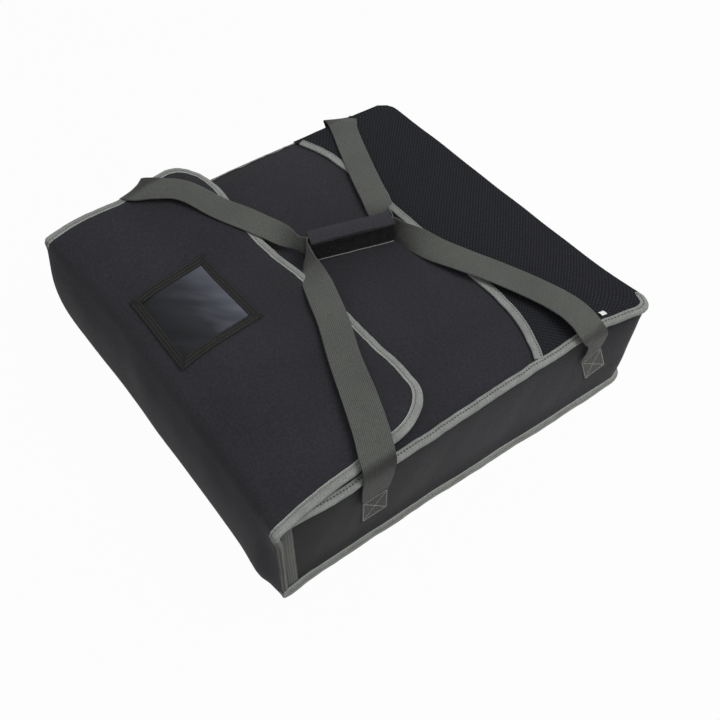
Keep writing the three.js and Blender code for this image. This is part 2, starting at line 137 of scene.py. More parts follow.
shift = -(bow_y - bow_radius - tape_reach + half_depth + rim_reach) / 2
card_y = card_inset - half_depth
grip_y = flap_edge_y + grip_from_flap
grip_low = body_height + clearance

# Small maths


def ease(value, start, length):
    """From 0 up to start to 1 at length further on, with a smooth curve between."""
    share = np.clip((value - start) / length, 0, 1)
    return share * share * (3 - 2 * share)


def bell(value, middle, width):
    """1 at the middle, and next to nothing from two widths away."""
    return np.exp(-(((value - middle) / width) ** 2))


def unit(vectors):
    return vectors / np.maximum(np.linalg.norm(vectors, axis=-1, keepdims=True), 1e-9)


def tangents(path):
    return unit(np.gradient(path, axis=0))


def repeated(vector, count):
    return np.tile(np.asarray(vector, float), (count, 1))


def lengths_along(path):
    steps = np.linalg.norm(np.diff(path, axis=0), axis=1)
    return np.concatenate([[0], np.cumsum(steps)])


def from_ends(along):
    """How far each point of a line is from the nearer of its ends."""
    return np.minimum(along, along[-1] - along)


def sample(rows, along, at):
    """Rows that are known at some distances along a line, read off at others."""
    return np.stack([np.interp(at, along, column) for column in rows.T], axis=-1)


def resample(path, spacing):
    """Points the same distance apart along a polyline, its ends kept."""
    along = lengths_along(path)
    count = max(2, int(round(along[-1] / spacing)) + 1)
    return sample(path, along, np.linspace(0, along[-1], count))


def spline(points, count):
    """A smooth curve through points, as count points, by Catmull and Rom's rule with even steps."""
    points = np.asarray(points, float)
    padded = np.vstack([2 * points[0] - points[1], points, 2 * points[-1] - points[-2]])
    at = np.linspace(0, len(points) - 1, count)
    here = np.minimum(at.astype(int), len(points) - 2)
    t = (at - here)[:, None]
    a, b, c, d = (padded[here + k] for k in range(4))
    return 0.5 * (2 * b + (c - a) * t + (2 * a - 5 * b + 4 * c - d) * t**2 + (3 * b - a - 3 * c + d) * t**3)


def through(value, *knots):
    """A smooth curve through (place, height) pairs, level beyond its ends."""
    places, heights = np.array(knots, float).T
    value = np.clip(value, places[0], places[-1])
    here = np.clip(np.searchsorted(places, value, side="right") - 1, 0, len(places) - 2)
    slopes = np.gradient(heights, places)
    span = places[here + 1] - places[here]
    t = (value - places[here]) / span
    rise = (2 * t**3 - 3 * t**2 + 1) * heights[here] + (3 * t**2 - 2 * t**3) * heights[here + 1]
    return rise + span * ((t**3 - 2 * t**2 + t) * slopes[here] + (t**3 - t**2) * slopes[here + 1])


def ripple(along, pitch, phase=0.0):
    """An uneven wave from about -1 to 1 that doesn't repeat soon."""
    turn = 2 * math.pi * np.asarray(along, float) / pitch
    small = 0.6 * np.sin(1.7 * turn + 2 * phase) + 0.4 * np.sin(3.1 * turn + phase)
    return (np.sin(turn + phase) + small) / 2


# How the real bag has settled, against its plain solids. A stretch is where a movement starts and how far it
# grows over, a bell is its middle and its width, and a curve runs through (place, height) pairs.

left_stretch = (70, 180)
side_stretch_shares = (3 / 13, 10 / 13)
lift_limit_share = 1.05
back_swell = 1.8
back_skew = 6
back_bow = 2.6
front_draw = 5
front_draw_bell = (-half_depth, 45)
rim_pull = 6
rim_pull_stretch = (-220, 330)
rim_return_stretch = (200, 50)
rim_press = 2.2
rim_press_bells = ((-140, 32), (180, 28))
base_curve = ((-262, 1.2), (-240, -0.9), (-218, -1.6), (-104, -1.6), (-30, -1.4), (0, 0), (60, 0.2),
              (115, 2.2), (182, 2.6), (226, 0.8), (245, -0.9))
left_reach = 7
left_reach_stretch = (190, 60)
far_rim_lift = 4.3
far_rim_stretch = (-200, 200)
top_wave = 1.2
top_wave_pitch = 260
corner_pull = (9, 10.8)
corner_reach = 34
corner_curve = ((0, 0.32), (20, 0.7), (60, 0.88), (110, 1.15), (130, 1.15), (body_height, 0.75))
tip_pull = 1
tip_reach = 13
tip_stretch = (118, 18)


def near_corner(x, y, reach):
    """1 at the right back corner, and less the further away."""
    return np.exp(-((x - half_span) ** 2 + (y - half_depth) ** 2) / (2 * reach**2))


def settle_body(points):
    """Where points of the body come to lie."""
    x, y, z = points.T
    out = points.copy()
    side = x / half_span
    near = ease(side, *side_stretch_shares)
    lift = np.clip(z / body_height, 0, lift_limit_share)
    behind = ease(y, half_depth / 4, half_depth * 3 / 4)
    out[:, 1] += behind * (back_swell + back_skew * side + back_bow * (1 - side**2))

    # The right side's rim is drawn in, and its base has its own line
    rim = rim_pull * (ease(y, *rim_return_stretch) / 2 - ease(y, *rim_pull_stretch))
    rim -= front_draw * bell(y, *front_draw_bell)
    rim -= rim_press * sum(bell(y, *press) for press in rim_press_bells)
    out[:, 0] += near * (rim * lift + through(y, *base_curve) * (1 - lift))
    depth = 1 - np.minimum(lift, 1)
    out[:, 1] -= left_reach * ease(-x, *left_stretch) * ease(-y, *left_reach_stretch) * depth

    # The top rises at the left and rolls a little, and the right back corner is swollen
    out[:, 2] += ease(-side, *side_stretch_shares) * ease(y, *far_rim_stretch) * far_rim_lift * lift**3
    out[:, 2] += lift**4 * top_wave * ripple(x + 0.6 * y, top_wave_pitch) * (1 - near)
    swell = near_corner(x, y, corner_reach) * through(z, *corner_curve)
    tip = tip_pull * near_corner(x, y, tip_reach) * ease(z, *tip_stretch)
    out[:, :2] += swell[:, None] * corner_pull + tip[:, None]
    return out


over_fold_stretch = (112, 34)
flap_left_out = ((-262, -10), (-230, -12), (-165, -12), (-124, -16), (-90, -18), (-46, -13))
flap_left_back = ((-262, -9), (-230, -7), (-180, -3), (-100, 0), (-46, -8))
flap_left_up = ((-262, 4), (-230, 12), (-165, 17.5), (-120, 27), (-80, 28), (-46, 22))
face_left_out = 8.5
face_left_lean = 3.5
right_stretch = (110, 125)
flap_right_out = ((-264, 4), (-250, 1), (-225, -2.5), (-190, -5), (-159, -6), (-104, -11), (-66, -10),
                  (-46, -4))
free_edge_stretch_shares = (0.3, 0.6)
free_edge_back = ((-150, -12), (-70, -5), (-24, 1), (60, 8), (116, 9), (152, 11.5), (187, 10.5), (235, 4))
level_edge_stretch = (front_half - 26, 24)
toe_lift = 6
toe_stretch = (205, 40)
toe_bell = (0, 24)
face_swell = ((-251, 5), (-60, 4.5), (100, 2), (190, 2), (225, 4.4), (251, 4.4))
face_bell = (40, 34)
fold_sharpness = 5.5
fold_bell = (0, 11)
fold_rise_share = 0.8
shoulder_melt = 11
melt_middle = (-262, 148)
melt_bell = (0, 42)
melt_shares = (0.5, -0.85)
calm_reach = 30
flap_wave = 0.8
flap_wave_pitch = 310
face_wave = 3
face_wave_pitch = 240


def settle_front(points):
    """Where points of the front and the flap come to lie."""
    x, y, z = points.T
    out = points.copy()
    side = x / front_half
    left = ease(-x, *left_stretch)
    lift = np.clip(z / flap_high, 0, lift_limit_share)
    above = ease(z, *over_fold_stretch)

    # The left side of the flap stands up and out, most of all at its far corner
    left_above = left * above
    for axis, curve in enumerate((flap_left_out, flap_left_back, flap_left_up)):
        out[:, axis] += left_above * through(y, *curve)
    out[:, 1] -= left * (1 - above) * (face_left_out + face_left_lean * lift)

    # The right side draws in towards the free edge, which runs aslant
    out[:, 0] += ease(x, *right_stretch) * above * through(y, *flap_right_out)
    on_top = np.clip((y - front_y) / (flap_edge_y - front_y), 0, 1)
    out[:, 1] += ease(on_top, *free_edge_stretch_shares) * through(x, *free_edge_back) * (1 - left)

    # The face is a pillow: level along its right edge, and swollen low down
    depth = np.sqrt(np.maximum(bow_radius**2 - (z - bow_z) ** 2, 0))
    forward = np.maximum(front_y - (bow_y - depth), 0)
    level_edge = ease(x, *level_edge_stretch)
    out[:, 1] += (1 - above) * level_edge * forward
    out[:, 2] += toe_lift * ease(x, *toe_stretch) * bell(z, *toe_bell)
    out[:, 1] -= (1 - level_edge) * (1 - left) * through(x, *face_swell) * bell(z, *face_bell)

    # The fold is sharp at its two ends and melts into a soft shoulder between them
    sharp = fold_sharpness * np.abs(side) ** 8 * bell(np.hypot(y - front_y, z - flap_high), *fold_bell)
    out[:, 1] -= sharp
    out[:, 2] += fold_rise_share * sharp
    middle = np.hypot(y - melt_middle[0], z - melt_middle[1])
    melt = (1 - np.abs(side) ** 4) * shoulder_melt * bell(middle, *melt_bell)
    out[:, 1:] += melt[:, None] * melt_shares
    calm = 1 - np.exp(-middle / calm_reach)
    out[:, 2] += above * calm * (1 - left) * flap_wave * ripple(x - 0.5 * y, flap_wave_pitch, 1.0)
    out[:, 1] -= (1 - above) * lift * face_wave * ripple(x + 0.4 * z, face_wave_pitch, 0.4) * (1 - side**2)
    return out


def as_is(points):
    return points


# Making meshes

collection = bpy.context.scene.collection
sharp_angle = math.radians(35)
fold_steps = 12
leg_rounding = 0.3
leg_crown = 0.15
stitch_profile = np.array([(0, 0.25), (0.2, 0.85), (0.8, 0.85), (1, 0.25)])


def add_mesh(name, points, faces, uvs, material, settle=as_is):
    """A mesh from points in the bag's frame. uvs holds one pair of millimetres for each point."""
    points = settle(np.asarray(points, float).reshape(-1, 3))
    placed = (points + [0, shift, 0]) * METRES
    mesh = bpy.data.meshes.new(name)
    mesh.from_pydata(placed.tolist(), [], faces)
    layer = mesh.uv_layers.new(name="UVMap")
    corners = np.zeros(len(mesh.loops), np.int32)
    mesh.loops.foreach_get("vertex_index", corners)
    uvs = np.asarray(uvs, float).reshape(-1, 2) * METRES
    layer.data.foreach_set("uv", uvs[corners].astype(np.float32).ravel())
    mesh.materials.append(material)
    mesh.validate()
    mesh.shade_smooth()
    mesh.set_sharp_from_angle(angle=sharp_angle)
    piece = bpy.data.objects.new(name, mesh)
    collection.objects.link(piece)
    return piece


def lowered(grid, by):
    low = grid.copy()
    low[..., 2] -= by
    return low


def slab(name, outer, inner, material, settle=as_is):
    """A closed panel between two grids of points, outer facing along rows cross columns."""
    rows, columns = outer.shape[:2]
    size = rows * columns
    index = np.arange(size).reshape(rows, columns)
    quads = np.stack([index[:-1, :-1], index[:-1, 1:], index[1:, 1:], index[1:, :-1]], axis=-1).reshape(-1, 4)
    rim = np.concatenate([index[0, :-1], index[:-1, -1], index[-1, :0:-1], index[:0:-1, 0]])
    after = np.roll(rim, -1)
    edges = np.stack([after, rim, rim + size, after + size], axis=1)
    faces = np.concatenate([quads, quads[:, [0, 3, 2, 1]] + size, edges]).tolist()
    across, along = (np.linalg.norm(np.diff(outer, axis=axis), axis=2).mean(axis=1 - axis) for axis in (1, 0))
    uvs = np.stack(np.meshgrid([0, *np.cumsum(across)], [0, *np.cumsum(along)]), axis=-1).reshape(-1, 2)
    points = np.concatenate([outer.reshape(-1, 3), inner.reshape(-1, 3)])
    return add_mesh(name, points, faces, np.concatenate([uvs, uvs]), material, settle)


def tube_faces(rings, around):
    """The faces of a tube of rings of points, with a cap at each end."""
    faces = []
    for here in range(0, (rings - 1) * around, around):
        for j in range(around):
            after = (j + 1) % around
            faces.append((here + j, here + after, here + around + after, here + around + j))
    last = (rings - 1) * around
    return [*faces, tuple(range(around))[::-1], tuple(range(last, last + around))]


def sweep(name, path, sides, ups, section, material, settle=as_is):
    """A section, as closed (side, up) pairs, or one such section for each point, carried along a path."""
    sections = np.broadcast_to(np.asarray(section, float), (len(path), *np.shape(section)[-2:]))
    points = path[:, None] + sections[:, :, :1] * sides[:, None] + sections[:, :, 1:] * ups[:, None]
    uvs = np.meshgrid(lengths_along(path), lengths_along(sections[len(path) // 2]), indexing="ij")
    faces = tube_faces(*points.shape[:2])
    return add_mesh(name, points, faces, np.stack(uvs, axis=-1), material, settle)


def folded_section(upper_leg, lower_leg, half_gap, tilt=0.0, ridge=0.0):
    """Tape folded round an edge: the fold bulges outwards from 0, and its legs lie inwards."""
    outside = half_gap + tape
    turn = np.linspace(math.pi / 2, -math.pi / 2, fold_steps + 1)
    outer = [((outside + ridge * math.cos(6 * a)) * math.cos(a), outside * math.sin(a)) for a in turn]
    inner = [(half_gap * math.cos(a), half_gap * math.sin(a)) for a in turn[::-1]]
    upper = [(-upper_leg, half_gap + tilt), (-upper_leg - leg_rounding, half_gap + tape / 2 + tilt),
             (-upper_leg, outside + tilt), (-upper_leg / 2, outside + tilt / 2 + leg_crown)]
    lower = [(-lower_leg / 2, -outside), (-lower_leg, -outside),
             (-lower_leg - leg_rounding, -half_gap - tape / 2), (-lower_leg, -half_gap)]
    return [*upper, *outer, *lower, *inner][::-1]


def changing_sections(first, second, shares):
    """Folded sections that pass from one set of sizes to another by shares, one for each point of a path."""
    first = np.array(first, float)
    return np.array([folded_section(*(first + (second - first) * share)) for share in shares])


def stitches(name, path, ups, material, settle=as_is, pitch=3.4, length=2.3, width=0.55, height=0.32):
    """A row of thread stitches lying on a surface, each a little capsule."""
    along = lengths_along(path)
    starts = (np.arange(int(along[-1] / pitch)) + 0.5) * pitch - length / 2
    at = (starts[:, None] + stitch_profile[:, 0] * length).ravel()
    size = np.tile(stitch_profile[:, 1], len(starts))[:, None, None]
    turn = np.linspace(0, 2 * math.pi, 7)[:-1, None]
    up = sample(ups, along, at)
    side = unit(np.cross(sample(tangents(path), along, at), up))
    points = (sample(path, along, at)[:, None] + side[:, None] * np.cos(turn) * width * size
              + up[:, None] * np.sin(turn) * height * size)
    uvs = np.stack(np.meshgrid(at, np.cos(turn) * width, indexing="ij"), axis=-1)
    stitch = tube_faces(len(stitch_profile), len(turn))
    bases = range(0, len(at) * len(turn), len(stitch_profile) * len(turn))
    faces = [[corner + base for corner in face] for base in bases for face in stitch]
    return add_mesh(name, points, faces, uvs, material, settle)


# Materials


def srgb(red, green, blue):
    """The linear colour of one written as it is seen, 0 to 255."""
    shares = [value / 255 for value in (red, green, blue)]
    return [s / 12.92 if s <= 0.04045 else ((s + 0.055) / 1.055) ** 2.4 for s in shares]


class Shader:
    """A material and short calls for the nodes that its look is made from."""

    def __init__(self, name, **sockets):
        self.material = bpy.data.materials.new(name)
        self.material.use_nodes = True
        self.nodes = self.material.node_tree.nodes
        self.links = self.material.node_tree.links
        self.bsdf = self.nodes["Principled BSDF"]
        for socket, value in sockets.items():
            self.bsdf.inputs[socket.replace("_", " ")].default_value = value
        self.uv = self.nodes.new("ShaderNodeTexCoord").outputs["UV"]
        self.object = self.uv.node.outputs["Object"]

    def put(self, source, target):
        if hasattr(source, "is_output"):
            self.links.new(source, target)
        else:
            target.default_value = source

    def math(self, operation, *values, clamp=False):
        node = self.nodes.new("ShaderNodeMath")
        node.operation = operation
        node.use_clamp = clamp
        for value, target in zip(values, node.inputs):
            self.put(value, target)
        return node.outputs[0]

    def plus(self, first, second, clamp=False):
        return self.math("ADD", first, second, clamp=clamp)

    def minus(self, first, second):
        return self.math("SUBTRACT", first, second)

    def times(self, first, second, clamp=False):
        return self.math("MULTIPLY", first, second, clamp=clamp)

    def past(self, place, start, length):
        """From 0 where a place along an axis is at start to 1 at length, in millimetres, further on."""
        return self.times(self.minus(place, start * METRES), 1 / (length * METRES), clamp=True)

    def noise(self, vector, scale, detail=2.0, roughness=0.5):
        node = self.nodes.new("ShaderNodeTexNoise")
        self.put(vector, node.inputs["Vector"])
        node.inputs["Scale"].default_value = scale
        node.inputs["Detail"].default_value = detail
        node.inputs["Roughness"].default_value = roughness
        return node.outputs["Fac"]

    def axes(self, vector):
        node = self.nodes.new("ShaderNodeSeparateXYZ")
        self.put(vector, node.inputs[0])
        return node.outputs

    def wave(self, value, pitch):
        """From -1 to 1 along value, in millimetres of pitch."""
        return self.math("SINE", self.times(value, 2 * math.pi / (pitch * METRES)))

    def ramp(self, value, *stops):
        """Colours at places from 0 to 1 of value."""
        node = self.nodes.new("ShaderNodeValToRGB")
        self.put(value, node.inputs[0])
        elements = node.color_ramp.elements
        while len(elements) < len(stops):
            elements.new(0.5)
        for element, (at, colour) in zip(elements, stops):
            element.position = at
            element.color = (*colour, 1)
        return node.outputs[0]

    def tones(self, value, colour, *stops):
        """A ramp whose stops are a place and a share of one colour."""
        return self.ramp(value, *((at, scaled(colour, share)) for at, share in stops))

    def blend(self, share, first, second, mode="MIX"):
        node = self.nodes.new("ShaderNodeMix")
        node.data_type = "RGBA"
        node.blend_type = mode
        self.put(share, node.inputs["Factor"])
        for value, target in ((first, node.inputs[6]), (second, node.inputs[7])):
            self.put(value if hasattr(value, "is_output") else (*value, 1), target)
        return node.outputs[2]

    def shaded(self, colour, value, *stops):
        """The colour, times a share that value gives by its stops."""
        return self.blend(1.0, colour, self.tones(value, WHITE, *stops), "MULTIPLY")

    def bump(self, *layers):
        """Layers of (height, millimetres, strength), each laid over the ones before it."""
        normal = None
        for height, depth, strength in layers:
            node = self.nodes.new("ShaderNodeBump")
            node.inputs["Strength"].default_value = strength
            node.inputs["Distance"].default_value = depth * METRES
            self.put(height, node.inputs["Height"])
            if normal is not None:
                self.links.new(normal, node.inputs["Normal"])
            normal = node.outputs[0]
        self.links.new(normal, self.bsdf.inputs["Normal"])

    def colour(self, source):
        self.links.new(source, self.bsdf.inputs["Base Color"])

    def roughness(self, source):
        self.links.new(source, self.bsdf.inputs["Roughness"])


def scaled(colour, by):
    return [value * by for value in colour]


def cloth_material(name, colour, pitch=0.9, sheen=0.12, mottle=0.12, painted_front_shade=1.0):
    """Woven cloth with a soft nap: a fine weave, uneven tone and a few specks of lint. Painted shade
    darkens it towards the front of the bag, down to the share that its last argument gives."""
    front_edge, front_fade = -240, 300
    swell_deep, weave_deep, grain_deep = 1.2, 0.12, 0.3
    s = Shader(name, Roughness=0.85, Sheen_Weight=sheen, Sheen_Roughness=0.45, Specular_IOR_Level=0.2)
    u, v, _ = s.axes(s.uv)
    weave = s.times(s.wave(u, pitch), s.wave(v, pitch))
    grain = s.noise(s.object, 330, 5, 0.75)
    contrast = 3.2 * mottle
    tone = s.tones(grain, colour, (0.32, 1 - contrast), (0.68, 1 + contrast))
    body = s.shaded(tone, s.noise(s.object, 9, 3), (0.3, 0.88), (0.7, 1.12))
    # Painted shade: the colour darkens towards the front of the bag, where less light falls.
    if painted_front_shade < 1:
        backwards = s.past(s.axes(s.object)[1], front_edge, front_fade)
        body = s.shaded(body, backwards, (0.0, painted_front_shade), (1.0, 1))
    lint = s.tones(s.noise(s.object, 240, 1), WHITE, (0.8, 0), (0.84, 0.35))
    s.colour(s.blend(lint, body, scaled(colour, 3.5)))
    s.roughness(s.plus(0.78, s.times(grain, 0.15)))
    s.bump((s.noise(s.object, 60, 3), swell_deep, 0.25), (weave, weave_deep, 0.35), (grain, grain_deep, 0.5))
    return s.material


def tape_material(name, colour, stripes=0.0, sheen=0.15):
    """Ribbed tape: ribs across it, lines along it, and paler wear in patches."""
    rib_pitch, twill_pitch, line_pitch, line_drift = 1.3, 1.9, 3.3, 2.5
    patch_deep, rib_deep, grain_deep = 1.0, 0.2, 0.15
    s = Shader(name, Roughness=0.8, Sheen_Weight=sheen, Sheen_Roughness=0.5, Specular_IOR_Level=0.2)
    u, v, _ = s.axes(s.uv)
    ribs = s.wave(u, rib_pitch)
    twill = s.wave(s.plus(u, s.times(v, 0.8)), twill_pitch)
    grain = s.noise(s.object, 650, 4, 0.65)
    patches = s.noise(s.object, 42, 3)
    lines = s.times(s.wave(s.plus(v, s.times(patches, line_drift * METRES)), line_pitch), stripes)
    woven = s.plus(s.plus(s.times(ribs, 0.05), s.times(twill, 0.09)), lines)
    tone = s.tones(s.plus(woven, grain), colour, (0.25, 0.62), (0.75, 1.3))
    s.colour(s.shaded(tone, patches, (0.3, 0.86), (0.7, 1.12)))
    s.bump((patches, patch_deep, 0.2), (ribs, rib_deep, 0.5), (grain, grain_deep, 0.4))
    return s.material


def webbing_material(name, colour):
    """Webbing: cords along it, each crossed by the weave, with painted shade where it hangs down the walls,
    less of it towards the back.
    """
    cord_pitch, pick_pitch, pick_bend = 2.15, 1.7, 0.4
    cord_deep, pick_deep, grain_deep = 0.3, 0.2, 0.12
    rim_z, rim_fade = 134, 12
    outer_x, outer_fade = 252, 8
    back_begins, back_fade = 130, 80
    s = Shader(name, Roughness=0.75, Sheen_Weight=0.12, Sheen_Roughness=0.5, Specular_IOR_Level=0.3)
    u, v, _ = s.axes(s.uv)
    cords = s.wave(v, cord_pitch)
    picks = s.wave(s.plus(u, s.times(cords, pick_bend * METRES)), pick_pitch)
    grain = s.noise(s.object, 420, 4, 0.7)
    woven = s.plus(s.times(cords, 0.2), s.times(picks, 0.05))
    tone = s.tones(s.plus(woven, grain), colour, (0.25, 0.72), (0.75, 1.25))
    body = s.shaded(tone, s.noise(s.object, 16, 2), (0.3, 0.88), (0.7, 1.1))
    x, y, z = s.axes(s.object)
    # Painted shade: the colour drops to 0.36 of itself below the rim and outside the walls, and painted light
    # lifts it towards the back, standing in for how the light falls on the straps.
    inside = s.past(s.times(s.math("ABSOLUTE", x), -1), -outer_x, outer_fade)
    on_top = s.times(s.past(z, rim_z, rim_fade), inside)
    bright = s.plus(on_top, s.times(s.past(y, back_begins, back_fade), 0.7), clamp=True)
    s.colour(s.shaded(body, bright, (0.0, 0.36), (1.0, 1)))
    s.bump((cords, cord_deep, 0.5), (picks, pick_deep, 0.5), (grain, grain_deep, 0.35))
    return s.material


def net_material(name, colour):
    """Knitted net: threads round diamond holes, with the shade of the pocket between the threads."""
    hole_pitch = 5.2
    knot_deep, grain_deep = 0.5, 0.1
    s = Shader(name, Roughness=0.8, Sheen_Weight=0.03, Sheen_Roughness=0.4, Specular_IOR_Level=0.12)
    u, v, _ = s.axes(s.uv)
    first = s.plus(s.wave(s.plus(u, v), hole_pitch), 1.0)
    second = s.plus(s.wave(s.minus(u, v), hole_pitch), 1.0)
    knots = s.times(s.times(first, second), 0.25)
    grain = s.noise(s.object, 420, 4, 0.7)
    thread = s.tones(grain, colour, (0.3, 0.6), (0.7, 1.5))
    s.colour(s.blend(s.tones(knots, WHITE, (0.1, 0), (0.55, 1)), scaled(colour, 0.4), thread))
    s.bump((knots, knot_deep, 0.6), (grain, grain_deep, 0.4))
    return s.material


def pile_material(name, colour):
    """Hook or loop pile: dull clumps and fine fuzz."""
    clump_deep, fuzz_deep = 0.8, 0.5
    s = Shader(name, Roughness=0.97, Sheen_Weight=0.05, Sheen_Roughness=0.6, Specular_IOR_Level=0.08)
    clumps = s.noise(s.object, 320, 3, 0.6)
    s.colour(s.tones(clumps, colour, (0.35, 0.35), (0.7, 1.9)))
    s.bump((clumps, clump_deep, 0.7), (s.noise(s.object, 1500, 4, 0.7), fuzz_deep, 0.8))
    return s.material


def film_material(name):
    """Silver film on cloth: bright, finely creased."""
    crease_deep, grain_deep = 1.5, 0.08
    s = Shader(name, Metallic=0.75, Roughness=0.38, Specular_IOR_Level=0.5)
    creases = s.noise(s.object, 40, 5, 0.65)
    grain = s.noise(s.uv, 700, 2)
    s.colour(s.ramp(creases, (0.3, srgb(150, 153, 156)), (0.7, srgb(196, 199, 202))))
    s.roughness(s.plus(0.3, s.times(grain, 0.2)))
    s.bump((creases, crease_deep, 0.4), (grain, grain_deep, 0.3))
    return s.material


def window_material(name):
    """Clear soft sheet over black cloth: glossy, streaked, and lit towards the back by a painted reflection."""
    streak_deep, fine_deep = 1.5, 0.06
    s = Shader(name, Roughness=0.3, Specular_IOR_Level=0.22, Coat_Weight=0.05, Coat_Roughness=0.3)
    x, y, _ = s.axes(s.object)
    stretched = s.nodes.new("ShaderNodeCombineXYZ")
    s.put(s.times(s.plus(x, y), 0.5), stretched.inputs[0])
    s.put(s.times(s.minus(y, x), 1.9), stretched.inputs[1])
    streaks = s.noise(stretched.outputs[0], 17, 2)
    # Painted reflection: the colour brightens in streaks towards the back of the sheet, standing in for the
    # bright surroundings mirrored in it.
    front_edge = (card_y - card_depth / 2 + shift) * METRES
    reflection_towards_back = s.times(s.minus(y, front_edge), 1 / (card_depth * METRES))
    painted_reflection = s.plus(s.times(streaks, 0.7), s.minus(reflection_towards_back, 0.35))
    s.colour(s.ramp(painted_reflection, (0.15, srgb(19, 20, 24)), (0.5, srgb(38, 39, 45)), (0.95, srgb(84, 87, 97))))
    s.roughness(s.plus(0.26, s.times(streaks, 0.12)))
    s.bump((streaks, streak_deep, 0.15), (s.noise(s.object, 200, 2), fine_deep, 0.08))
    return s.material


def thread_material(name, colour):
    """Twisted thread."""
    twist_deep = 0.1
    s = Shader(name, Roughness=0.6, Sheen_Weight=0.2, Specular_IOR_Level=0.4)
    twist = s.noise(s.uv, 1800, 2)
    s.colour(s.tones(twist, colour, (0.3, 0.75), (0.7, 1.2)))
    s.bump((twist, twist_deep, 0.5))
    return s.material


black = cloth_material("black_cloth", srgb(37, 36, 41))
# The walls' cloth, with painted shade that darkens it towards the front.
wall_cloth = cloth_material("wall_cloth", srgb(37, 36, 40), painted_front_shade=0.5)
grip_cloth = cloth_material("grip_cloth", srgb(42, 41, 46), sheen=0.15)
light_tape = tape_material("seam_tape_light", srgb(128, 131, 127))
base_tape = tape_material("seam_tape_base", srgb(122, 124, 120), stripes=0.15)
edge_tape = tape_material("seam_tape_edge", srgb(90, 92, 87), stripes=0.22)
dark_tape = tape_material("seam_tape_shaded", srgb(84, 86, 81), stripes=0.42)
strap_cloth = webbing_material("webbing_grey_green", srgb(75, 77, 73))
net = net_material("net_cloth", srgb(38, 39, 44))
pile = pile_material("pile_black", srgb(20, 21, 23))
film = film_material("silver_film")
clear = window_material("clear_sheet")
ribbon_cloth = tape_material("frame_ribbon_olive", srgb(29, 29, 28), sheen=0.04)
light_thread = thread_material("thread_light", srgb(172, 175, 168))
dark_thread = thread_material("thread_dark", srgb(50, 52, 49))
flap_thread = thread_material("thread_grey", srgb(84, 86, 82))
olive_thread = thread_material("thread_olive", srgb(42, 42, 39))
white_cloth = cloth_material("tag_cloth_white", srgb(214, 214, 214), pitch=0.5, sheen=0.1, mottle=0.05)


def dress(piece, body, nodes=()):
    """Hides the nodes that a piece replaces, and attaches the piece to its body when one is given."""
    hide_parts(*nodes)
    if body:
        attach(piece, body)
    return piece


# Plan outlines

wall_spacing = 9
corner_steps = 8


def arc(x, y, radius, start, end, steps):
    turn = np.linspace(start, end, steps + 1)
    return np.stack([x + radius * np.cos(turn), y + radius * np.sin(turn)], axis=1)


def wall_line(grow):
    """The walls' plan from the left front round the back to the right front, grown outwards."""
    radius = corner_radius + grow
    right = half_span - corner_radius
    back = half_depth - corner_radius
    side = np.linspace(-half_depth, back, wall_depth // wall_spacing)[:-1]
    span = np.linspace(-right, right, wall_span // wall_spacing)[1:-1]
    return np.concatenate([
        np.stack([np.full(len(side), -half_span - grow), side], axis=1),
        arc(-right, back, radius, math.pi, math.pi / 2, corner_steps),
        np.stack([span, np.full(len(span), half_depth + grow)], axis=1),
        arc(right, back, radius, math.pi / 2, 0, corner_steps),
        np.stack([np.full(len(side), half_span + grow), side[::-1]], axis=1),
    ])


def outward(line):
    """The directions to the left of a line, one for each of its points."""
    along = tangents(line)
    return np.stack([-along[:, 1], along[:, 0]], axis=1)


def at_height(plan, height):
    return np.concatenate([plan, np.full((len(plan), 1), float(height))], axis=1)


def plan_grid(half_width, back, radius, height, columns=36, spacing=14):
    """A flat grid from the walls' front edges back, in rows along X, whose two back corners are round."""
    turn = np.linspace(0, math.pi / 2, 7)
    rows = [(y, half_width) for y in np.arange(-half_depth, back - radius, spacing)]
    rows += [(back - radius + radius * math.sin(a), half_width - radius + radius * math.cos(a)) for a in turn]
    return np.array([[(share * w, y, height) for share in np.linspace(-1, 1, columns)] for y, w in rows])


def inner_grid(height):
    """A flat grid that fits inside the walls."""
    return plan_grid(half_span - inset, half_depth - inset, corner_radius - inset, height)


# The bottom, and the strip of its cloth that joins it to the front

hinge_profile = ((2, 1.4), (-4, 1.6), (-10, 2.6))
floor_wave = 0.6
floor_wave_pitch = 70

bottom_grid = plan_grid(half_span, half_depth, corner_radius, padding)
bottom = slab("bottom_pad", bottom_grid, lowered(bottom_grid, padding), black, settle_body)
dress(bottom, "bag", ["bottom_outer", "bottom_foam"])
hinge_grid = np.array([[(x, y - half_depth, z) for x in bottom_grid[0, :, 0]] for y, z in hinge_profile])
hinge_cloth = slab("bottom_hinge_cloth", hinge_grid, lowered(hinge_grid, fabric), black, settle_body)
dress(hinge_cloth, "bag")

floor_grid = inner_grid(padding + clearance + lining)
floor_low = lowered(floor_grid, lining)
floor_grid[..., 2] += floor_wave * ripple(floor_grid[..., 0] + 0.4 * floor_grid[..., 1], floor_wave_pitch)
floor_film = slab("bottom_film", floor_grid, floor_low, film, settle_body)
dress(floor_film, "bag", ["bottom_lining"])

# The walls

wall_rows = 17
wall_bulge = 1.5
wall_crease = 0.7
wall_flare = 3.2
flare_height = 16
held_stretch = (10, 45)
flare_stretch = (14, 30)
bulge_pitch = 190
crease_pitch = 120


def wall_face(offset, low, bulge=0.0):
    """One face of the walls, whose foot flares out. Its front ends are held by their seams."""
    line = wall_line(0)
    along = lengths_along(line)
    z = np.linspace(wall_top, low, wall_rows)[:, None]
    held = ease(from_ends(along), *held_stretch) * np.sin(math.pi * (z - low) / (wall_top - low))
    swell = held * bulge * (1 + 0.3 * ripple(along, bulge_pitch))
    crease = held * wall_crease * ripple(along + 0.5 * z, crease_pitch)
    flare = wall_flare * bell(z, 0, flare_height) * ease(from_ends(along), *flare_stretch)
    grid = np.empty((wall_rows, len(line), 3))
    grid[..., :2] = line + outward(line) * (offset + swell + crease + flare)[..., None]
    grid[..., 2] = z
    return grid[:, ::-1]


